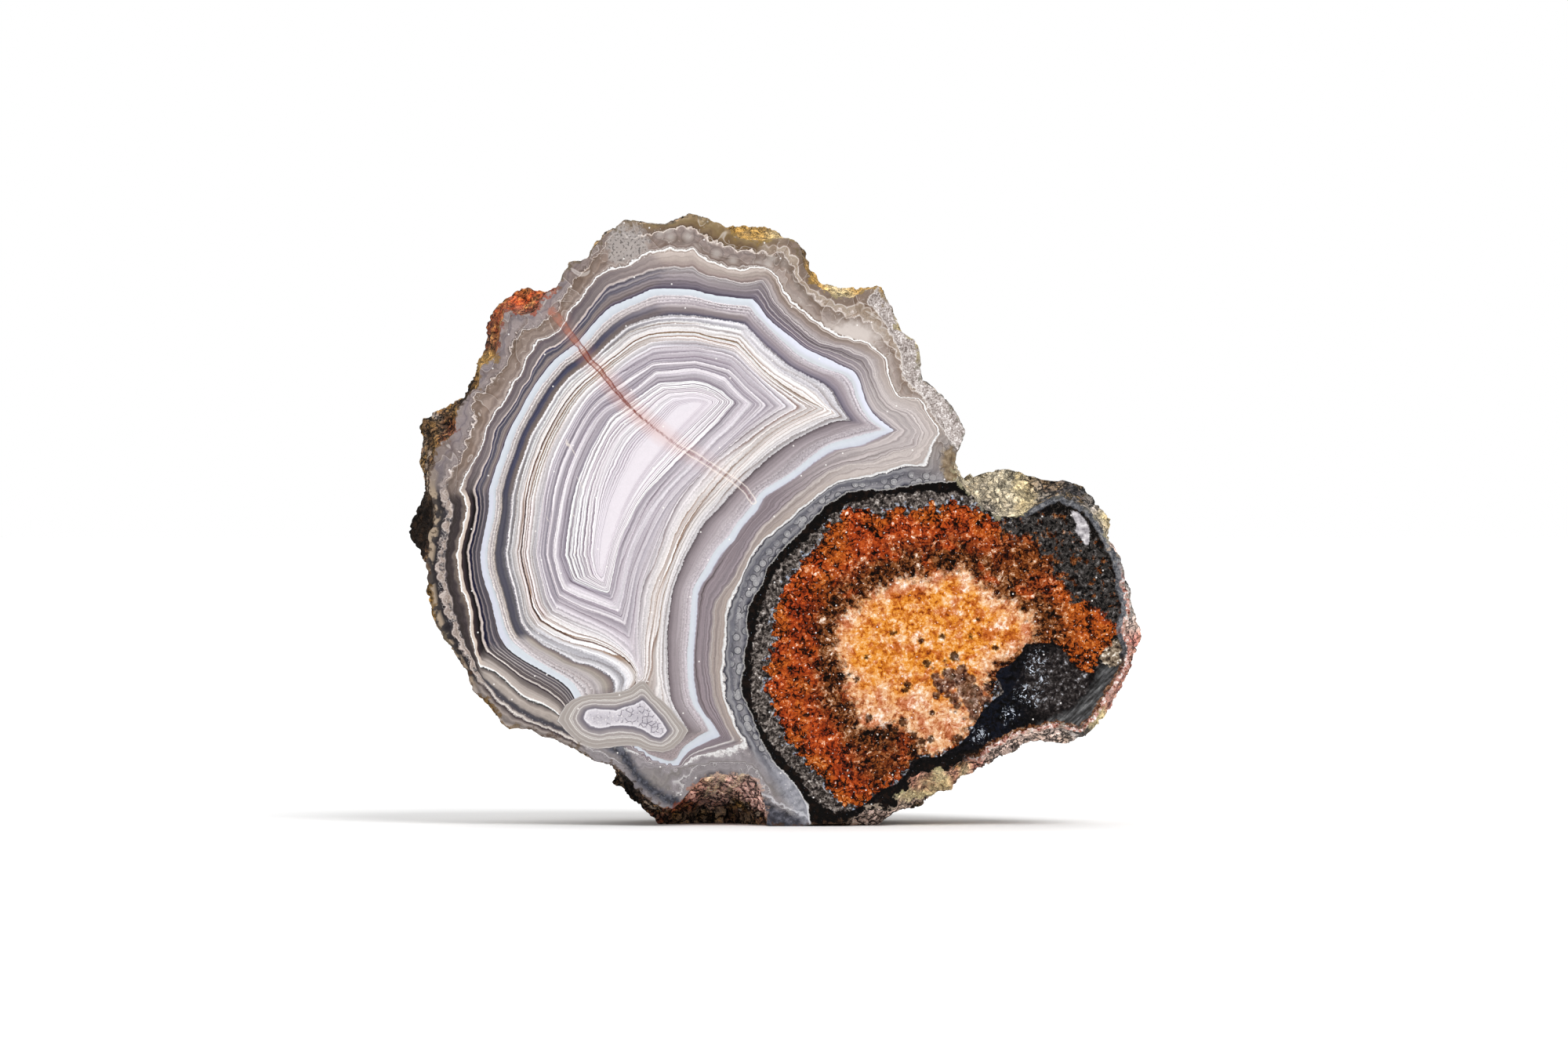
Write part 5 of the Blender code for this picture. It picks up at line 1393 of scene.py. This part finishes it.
def moss_colour(t, flat, middle, fine):
    """The colour of the mossy side lobe: black rim, grey hoar, orange plumes and a golden heart."""
    x, z, _ = t.split(flat)
    reach = t.distance(flat, HEART)
    spoke = t.scaled(t.vectors("SUBTRACT", flat, HEART), t.math("DIVIDE", 11.0, reach))
    spoke = t.vectors("ADD", spoke, t.vector(0.0, 0.0, t.times(reach, 0.35)))
    spoke = t.noise(spoke, 1.0, 3, 0.6)
    wide = t.noise(flat, 0.21, 2, 0.5)
    bent = t.bent(flat, 0.9, 2, 1.5)
    grit = t.noise(flat, 2.0, 2.5, 0.62, 0.5)
    clumps = t.noise(bent, 1.2, 4, 0.64, 0.8)
    hollow = t.step(t.noise(bent, 1.5, 3, 0.6, 1.2), 0.43, 0.38)
    cracked = t.step(t.cells(bent, 1.2, "DISTANCE_TO_EDGE"), 0.12, 0.03)
    grain, other, _ = t.split(t.cells(bent, 1.2, output="Color"))
    glint_fleck = t.step(t.noise(flat, 2.6, 2, 0.5), 0.67, 0.71)
    # The orange plumes: crumbly with dark hollows, redder in places and brown towards the golden heart.
    tone = t.sway(0.47, grit, 1.2, clumps, 1.6, spoke, 1.1, grain, 0.34)
    tone = t.line(hollow, -0.42, tone)
    outer = t.step(t.attribute("orange"), 2.6, 0.4)
    tone = t.line(cracked, t.line(outer, -0.24, -0.14), tone)
    golden = t.sway(t.attribute("yellow"), middle, 3.0, spoke, 3.2, fine, 1.2)
    brown = t.times(t.step(golden, -5.4, -2.4), t.step(t.noise(flat, 0.33, 2), 0.32, 0.44))
    for place in BROWN_PARTS:
        away = t.sway(t.distance(flat, place), clumps, 6.0, spoke, 4.0)
        brown = t.most(brown, t.times(t.step(away, 5.0, 2.6), 0.8))
    redder = t.sway(wide, outer, -0.08, t.step(x, 29.0, 34.0), -0.16)
    orange = t.mix(t.step(redder, 0.48, 0.62), t.tones(tone, "orange"), t.tones(tone, "rust"))
    dusky = t.line(t.step(clumps, 0.5, 0.36), -0.3, t.add(tone, -0.04))
    orange = t.mix(t.times(brown, 0.95), orange, t.tones(dusky, "brown"))
    # The golden heart, blushing pink towards its edge and foot.
    cloudy = t.noise(flat, 0.4, 3)
    mottle = t.sway(0.44, grit, 1.2, t.noise(flat, 1.2, 4, 0.66, 0.8), 1.3, cloudy, 0.8, other, 0.16)
    blush = t.sway(t.step(t.attribute("yellow"), 2.4, 0.2), cloudy, 2.8)
    blush = t.add(blush, t.step(z, 20.0, 14.0))
    gold = t.mix(t.step(blush, 0.1, 0.9), t.tones(mottle, "gold"), t.tones(mottle, "blush"))
    ruddy = t.times(t.step(t.noise(flat, 0.42, 4, 0.65, 0.5), 0.51, 0.6), 0.7)
    ruddy = t.most(ruddy, t.times(with_ridges(t, bent, 0.33, 0.022, 3), 0.7))
    gold = t.mix(ruddy, gold, t.tones(t.add(mottle, 0.12), "rust"))
    result = t.mix(t.step(golden, -0.5, 0.5), orange, gold)
    # Dark spots and a bunch of brown grapes on it, and pale flecks that are partly painted glints.
    spots = t.step(t.sway(t.attribute("spots"), grit, 1.0), 0.12, -0.12)
    result = t.mix(t.times(spots, 0.9), result, t.tones(t.sway(0.17, grit, 1.2), "brown"))
    bunch = t.cells(flat, 0.75)
    grapes = t.line(bunch, -2.6, t.sway(t.attribute("grapes"), t.noise(flat, 0.9, 2), 2.0))
    grapes = t.step(t.add(grapes, 1.0), -0.25, 0.25)
    berries = t.line(bunch, 0.35, t.sway(0.24, grit, 2.2))
    result = t.mix(t.times(grapes, 0.9), result, t.tones(berries, "grapes"))
    result = t.paint(result, glint_fleck, 0.75, "pale fleck")
    # The charcoal moss, with pale hairs and crumbs of orange.
    charcoal = t.sway(t.attribute("charcoal"), t.noise(flat, 0.8, 4, 0.65), 4.0, spoke, 2.5)
    hairs = t.most(with_ridges(t, bent, 1.1, 0.05), with_ridges(t, flat, 2.0, 0.05))
    shade = t.line(hairs, 0.3, t.sway(0.24, grit, 1.8, clumps, 1.2))
    rusty = t.step(t.noise(flat, 0.9, 3, 0.6), 0.55, 0.62)
    dark = t.mix(rusty, t.tones(shade, "charcoal"), t.tones(t.add(tone, -0.08), "brown"))
    result = t.mix(t.step(charcoal, -0.15, 0.15), result, dark)
    # The grey hoar between the plumes and the black rim. It dies out to the right.
    plumes = t.sway(t.attribute("orange"), t.cells(bent, 1.0), -1.3, t.noise(flat, 1.0, 3, 0.65), 1.0)
    threads = t.most(with_ridges(t, bent, 0.95, 0.08), t.times(with_ridges(t, flat, 2.1, 0.08), 0.8))
    hoar = t.line(threads, 0.28, t.sway(0.3, grit, 1.6, clumps, 1.0))
    hoar = t.line(t.step(x, 29.0, 31.5), -0.36, hoar)
    hoar = t.tones(hoar, "hoar")
    # Painted glints: steel-blue specks along the edge of the plumes.
    steel_glint = t.times(t.near(plumes, -0.16, 0.26), t.step(grit, 0.52, 0.6))
    steel_glint = t.times(steel_glint, t.step(x, 31.0, 28.0))
    result = t.mix(t.step(plumes, 0.04, -0.04), result, hoar)
    result = t.paint(result, t.near(plumes, 0.02, 0.16), 0.85, "120806")
    result = t.paint(result, steel_glint, 0.9, "steel_glint")
    # Glassy jet, with a rough grey patch and sharp glints.
    jet = t.sway(t.attribute("jet"), t.noise(flat, 1.2, 3, 0.6), 0.5)
    rough = t.step(t.sway(t.distance(flat, ROUGH_JET), t.noise(flat, 0.5, 2), 4.0), 5.4, 3.6)
    shade = t.sway(t.line(rough, 0.36, 0.28), grit, 1.4, clumps, 1.0)
    glossy = t.tones(shade, "jet")
    navy = t.times(t.step(x, 33.0, 29.0), t.step(z, 9.0, 12.0), t.step(clumps, 0.44, 0.56))
    glossy = t.paint(glossy, navy, 0.55, "0e1626")
    glint = t.step(t.sway(t.attribute("glints"), middle, 3.0), 0.5, -0.5)
    glint = t.times(glint, t.step(t.noise(bent, 2.2, 2, 0.6, 1.0), 0.57, 0.61))
    glossy = t.mix(glint, glossy, colour("d3dbe8"))
    result = t.mix(t.step(jet, -0.04, 0.04), result, glossy)
    # A smoky streak and a tan patch on the jet's right.
    along = t.vector(t.times(t.add(x, z), 0.22), t.times(t.minus(x, z), 1.3), 0.0)
    smoke = t.times(t.step(t.sway(t.attribute("smoke"), middle, 2.0), -0.2, 1.0), 0.85)
    result = t.mix(smoke, result, t.tones(t.sway(0.5, t.noise(along, 1.3, 3), 1.6, grit, 0.4), "smoke"))
    tan = t.sway(t.attribute("tan"), middle, 1.6, fine, 0.8)
    result = t.mix(t.step(tan, 0.0, 0.2), result, t.tones(t.sway(0.5, grit, 2.0, clumps, 1.4), "tan"))
    # The black rim round it all, and the pale shard in it at the upper right.
    rim = t.sway(t.attribute("black_rim_inside"), t.noise(flat, 1.3, 3, 0.6), 0.9, t.cells(bent, 1.1), 0.6)
    ink = t.mix(t.step(middle, 0.5, 0.62), colour("jet"), colour("jet brown"))
    # Painted glints: steel-blue specks in the black rim.
    ink = t.paint(ink, t.step(t.noise(flat, 5.0, 1), 0.74, 0.77), 0.5, "steel_glint")
    result = t.mix(t.step(rim, -0.25, -0.35), result, ink)
    shard = t.step(t.sway(t.attribute("shard"), fine, 0.5), -0.08, 0.08)
    result = t.mix(shard, result, t.ramp(middle, SHADES["shard"]))
    # The grey glassy lip at the far right.
    lip = t.sway(t.attribute("edge"), middle, 0.7)
    lip = t.step(t.line(t.step(z, 33.0, 36.0), 0.45, lip), 1.25, 1.05)
    lip = t.times(lip, t.step(x, 31.0, 33.5), t.step(z, 20.0, 26.0))
    result = t.mix(lip, result, t.ramp(t.sway(middle, fine, 0.8), SHADES["lip"]))
    # A pink and white skin along the right edge, with a rusty line inside it at the foot.
    skin = t.sway(t.attribute("edge"), middle, 1.2, fine, 0.6)
    right = t.times(t.step(x, 24.0, 28.0), t.step(z, 34.0, 30.0))
    rusty = t.times(t.near(skin, 0.72, 0.24), t.times(right, t.step(z, 22.0, 19.0)))
    result = t.mix(t.times(rusty, 0.85), result, t.tones(t.sway(0.55, grit, 2.0), "brown"))
    tone = t.sway(0.52, grit, 2.2, clumps, 1.6)
    return t.mix(t.times(t.step(skin, 0.55, 0.45), right), result, t.tones(tone, "skin"))


def with_crack(t, base, flat, middle, fine):
    """The healed crack, as two dark red lines that run into one with a blush round them, and scratches."""
    gap, along, _ = t.split(t.attribute("crack", "Vector"))
    gap = t.most(t.sway(t.add(gap, -0.08), t.noise(flat, 1.1, 3), 0.35), 0.0)
    split = t.ramp(along, CRACK_SPLIT)
    base = t.paint(base, t.step(gap, 1.7, 0.0), t.ramp(along, CRACK_BLUSH), "cf9684")
    between = t.times(t.step(t.minus(gap, split), 0.08, -0.08), t.step(along, 0.42, 0.38))
    base = t.paint(base, between, t.ramp(middle, [(0.35, 0.1), (0.62, 0.75)]), "a86a57")
    base = t.paint(base, t.near(gap, split, 0.13), t.ramp(along, CRACK_DARK), "712c1b")
    # A pale line beside it where it is thin.
    pale = t.times(t.near(gap, 0.26, 0.12), t.step(along, 0.62, 0.7))
    base = t.paint(base, pale, 0.7, "f3e6dd")
    scratch = t.times(t.step(t.attribute("scratch"), 0.12, 0.03), t.step(fine, 0.3, 0.6))
    return t.paint(base, scratch, 0.75, "efe4da")


def polish_material(group):
    """The polished face: the banded lobe, the pocket, the crack, the mossy lobe and a few bright pits."""
    material, t, shader = new_material("polished_agate")
    spot, slow, middle, fine = grain_of(t, group)
    x, _, z = t.split(spot)
    flat = t.vector(x, z, 0.0)
    base = lobe_colour(t, flat, slow, middle, fine)
    # The pocket with its own layers, and the flecked quartz in it.
    pocket = t.attribute("pocket")
    level = t.sway(pocket, t.noise(flat, 0.35, 2), 0.22, middle, 0.05, fine, 0.07)
    inside = t.ramp(level, POCKET_LAYERS)
    cracks = t.step(t.cells(flat, 1.5, "DISTANCE_TO_EDGE"), 0.13, 0.03)
    flecks = t.step(t.sway(middle, t.step(x, -22.0, -16.0), 0.16), 0.44, 0.54)
    flecks = t.times(t.step(level, 1.05, 1.35), flecks, cracks)
    inside = t.paint(inside, flecks, 0.85, "625c68")
    glitter = t.times(t.step(level, 1.1, 1.4), t.step(fine, 0.58, 0.66))
    inside = t.paint(inside, glitter, 0.7, "white")
    # The clear ink-blue chalcedony below the pocket and at the foot, there under a pale line.
    ink = t.step(t.sway(t.attribute("ink"), middle, 1.6, fine, 0.6), -0.3, 0.5)
    foot = t.sway(t.line(x, 0.5, z), t.noise(flat, 0.3, 2), 2.0, middle, 1.5)
    here = t.times(t.step(x, -3.0, -2.0), t.step(x, 6.0, 4.0))
    base = t.paint(base, t.near(foot, 3.3, 0.25), t.times(here, 0.6), "dadadf")
    ink = t.most(ink, t.times(t.step(foot, 3.2, 2.2), t.times(here, 0.95)))
    base = t.mix(t.times(ink, 0.92), base, t.ramp(middle, SHADES["ink"]))
    # The crystals on the right rim and the amber corner.
    facets = t.sway(0.5, t.cells(flat, 1.5, output="Color"), 0.5, fine, 2.0)
    facets = t.ramp(facets, SHADES["crystals"])
    crystals = t.sway(t.attribute("crystals"), middle, 0.9, fine, 0.5)
    base = t.mix(t.step(crystals, -0.06, 0.06), base, facets)
    base = t.paint(base, t.near(crystals, 0.0, 0.14), 0.6, "efe9e5")
    amber = t.times(t.step(t.sway(t.attribute("amber"), middle, 1.0), -0.2, 0.4), 0.85)
    base = t.mix(amber, base, t.ramp(middle, SHADES["amber"]))
    base = t.mix(t.step(pocket, -0.03, 0.03), base, inside)
    base = with_crack(t, base, flat, middle, fine)
    # The mossy lobe with its pale outline, and bright pits over all of it.
    moss = t.sway(t.attribute("moss"), t.noise(flat, 0.9, 3, 0.6), 0.8, fine, 0.25)
    base = t.paint(base, t.near(moss, -0.06, 0.16), 0.6, "c9c6c2")
    base = t.mix(t.step(moss, -0.04, 0.04), base, moss_colour(t, flat, middle, fine))
    pits = t.step(t.cells(flat, 0.17), 0.022, 0.012)
    base = t.paint(base, pits, 0.8, "white")
    # The very edge, stained by the crust.
    stain = t.step(t.sway(t.attribute("edge"), t.noise(flat, 0.9, 4, 0.65), 5.0), 0.2, -0.1)
    earthy = t.vectors("MULTIPLY", t.attribute("crust_tint", "Vector"), (0.6, 0.62, 0.55))
    base = t.mix(t.times(stain, 0.7), base, t.scaled(earthy, t.times(fine, 1.7)))
    set_surface(t, shader, base, t.times(middle, 0.36), 0.2)
    shader.inputs["IOR"].default_value = QUARTZ_IOR
    set_relief(t, shader, 0.1, 0.05 * MM, fine)
    return material


def rind_material(group):
    """The rough outside: earthy lumps with painted shade in the gaps, ochre and iron-red patches, and grit.
    """
    material, t, shader = new_material("crusted_rind")
    spot, slow, middle, fine = grain_of(t, group)
    bent = t.bent(spot, 0.8, 3, 2.4)
    lumps = t.cells(bent, 0.75, "DISTANCE_TO_EDGE", flat=False)
    crumbs = t.cells(bent, 1.7, "DISTANCE_TO_EDGE", flat=False)
    tint = t.attribute("crust_tint", "Vector")
    red, green, blue = t.split(tint)
    bright = t.step(green, 0.1, 0.4)
    sandy = t.step(t.minus(green, blue), 0.08, 0.22)
    stained = t.step(t.math("DIVIDE", t.minus(green, blue), green), 0.5, 0.7)
    dry = t.times(t.step(red, 0.03, 0.1), t.line(bright, -0.6, 1.0))
    wide = t.noise(spot, 0.07, 3, 0.6)
    # Clouds of other earths: what they follow, where they start and are full, how strong they are, and what
    # colour they have.
    clouds = (
        (wide, 0.52, 0.62, 0.6, "dark ochre"), (wide, 0.46, 0.36, 0.6, "umber"),
        (slow, 0.54, 0.66, 0.45, "ochre"), (slow, 0.44, 0.34, 0.45, "umber"),
        (middle, 0.55, 0.65, 0.35, "ochre"),
    )
    base = tint
    for cloud, start, full, strength, name in clouds:
        base = t.paint(base, t.step(cloud, start, full), t.times(dry, strength), name)
    # Lumps in lighter and darker tones, a few of them pale, with painted shade in the dark gaps between
    # them.
    kind, pale, _ = t.split(t.cells(bent, 0.75, output="Color", flat=False))
    _, back, up = t.split(spot)
    lumpy = t.most(t.step(t.noise(spot, 0.13, 3, 0.6), 0.38, 0.58), t.step(up, 12.0, 8.0))
    base = t.scaled(base, t.sway(1.05, kind, t.line(lumpy, 0.7, 0.3)))
    pale = t.times(t.step(pale, 0.72, 0.95), t.times(dry, t.line(stained, -0.4, 0.5)))
    base = t.mix(pale, base, colour("d9c8b4"))
    shade = t.sway(1.55, middle, 4.0, fine, 4.5)
    # Painted shade in the gaps between lumps and crumbs: more where lumpy and low down, less where sandy.
    gaps = t.times(t.step(lumps, 0.16, 0.03), t.line(sandy, -0.65, 0.92))
    gaps = t.times(gaps, t.line(lumpy, 0.6, 0.4))
    gaps = t.line(t.step(crumbs, 0.12, 0.02), 0.25, gaps)
    shade = t.times(shade, t.minus(1.0, t.math("MINIMUM", gaps, 0.95)))
    base = t.scaled(base, t.most(shade, 0.06))
    # A partly painted highlight of pale grains along the polished edge, and fresh pale grains over dry
    # crust.
    fresh = t.times(dry, t.line(stained, -0.4, 0.5))
    rim = t.times(t.step(back, FACE / MM + 1.6, FACE / MM), fresh)
    base = t.paint(base, rim, t.step(fine, 0.46, 0.6), "e3d0bb")
    base = t.paint(base, t.step(fine, 0.62, 0.72), fresh, "e3d8c6")
    set_surface(t, shader, base, t.step(middle, -0.9, 1.0), 0.35)
    height = t.add(t.add(middle, t.times(fine, 0.5)), t.times(crumbs, 0.5))
    set_relief(t, shader, 1.0, 0.6 * MM, t.add(height, t.times(t.step(lumps, 0.0, 0.2), 0.6)))
    return material


def make_stone():
    """The stone as one closed piece: the polish, and the rind round it."""
    stone = copy_of_stone()
    mesh = bmesh.new()
    mesh.from_mesh(stone.data)
    for face in mesh.faces:
        face.material_index = 1
        face.smooth = True
    roughen(mesh)
    rim = [(v.co.x, v.co.z) for v in rim_of(mesh)]
    fill_polish(mesh)
    stone.data.materials.clear()
    mesh.to_mesh(stone.data)
    mesh.free()
    group = grain_group()
    stone.data.materials.append(polish_material(group))
    stone.data.materials.append(rind_material(group))
    lay_attributes(stone, rim)
    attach(stone, "root")
    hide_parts(STONE)


def make_stage():
    """A wide white floor under the stone and white all round it."""
    deselect_all()
    bpy.ops.mesh.primitive_plane_add(size=FLOOR_SIZE, location=(0, 0, 0))
    floor = bpy.context.view_layer.objects.active
    floor.name = "floor"
    material, t, shader = new_material("white_paper")
    mirrored = t.node("ShaderNodeLightPath").outputs["Is Glossy Ray"]
    set_surface(t, shader, t.mix(mirrored, FLOOR_WHITE, FLOOR_MIRRORED), 1.0, 0.0)
    floor.data.materials.append(material)
    world = bpy.data.worlds.new("white_room")
    bpy.context.scene.world = world
    world.use_nodes = True
    t = Tree(world.node_tree)
    rays = t.node("ShaderNodeLightPath").outputs
    strength = t.line(rays["Is Camera Ray"], ROOM_SEEN - ROOM_LIGHT, ROOM_LIGHT)
    strength = t.line(rays["Is Glossy Ray"], ROOM_MIRRORED - ROOM_LIGHT, strength)
    background = world.node_tree.nodes["Background"].inputs
    background["Color"].default_value = (1, 1, 1, 1)
    t.put(background["Strength"], strength)


def make_light(name, place, softness, power):
    """A soft far light that shines from the place towards the middle of the stone."""
    light = bpy.data.lights.new(name, "SUN")
    light.angle = math.radians(softness)
    light.energy = power
    lamp = bpy.data.objects.new(name, light)
    lamp.location = place
    aim = Vector((0, 0, MIDDLE_HEIGHT)) - lamp.location
    lamp.rotation_euler = aim.to_track_quat("-Z", "Y").to_euler()
    bpy.context.scene.collection.objects.link(lamp)


def make_camera():
    """Square to the polished face, at a distance that shows a tenth of a millimetre as one pixel."""
    data = bpy.data.cameras.new("camera")
    data.lens = LENS
    data.sensor_width = SENSOR
    data.clip_end = FARTHEST_SEEN
    camera = bpy.data.objects.new("camera", data)
    x, z = at(PHOTO_MIDDLE_PX)
    distance = PHOTO_WIDTH * PIXEL * LENS / SENSOR
    camera.location = (x, FACE - distance, z)
    camera.rotation_euler = (math.radians(90), 0, 0)
    bpy.context.scene.collection.objects.link(camera)
    bpy.context.scene.camera = camera


make_camera()
make_stage()
for light in LIGHTS:
    make_light(*light)
make_stone()
bpy.context.scene.view_settings.view_transform = "Standard"
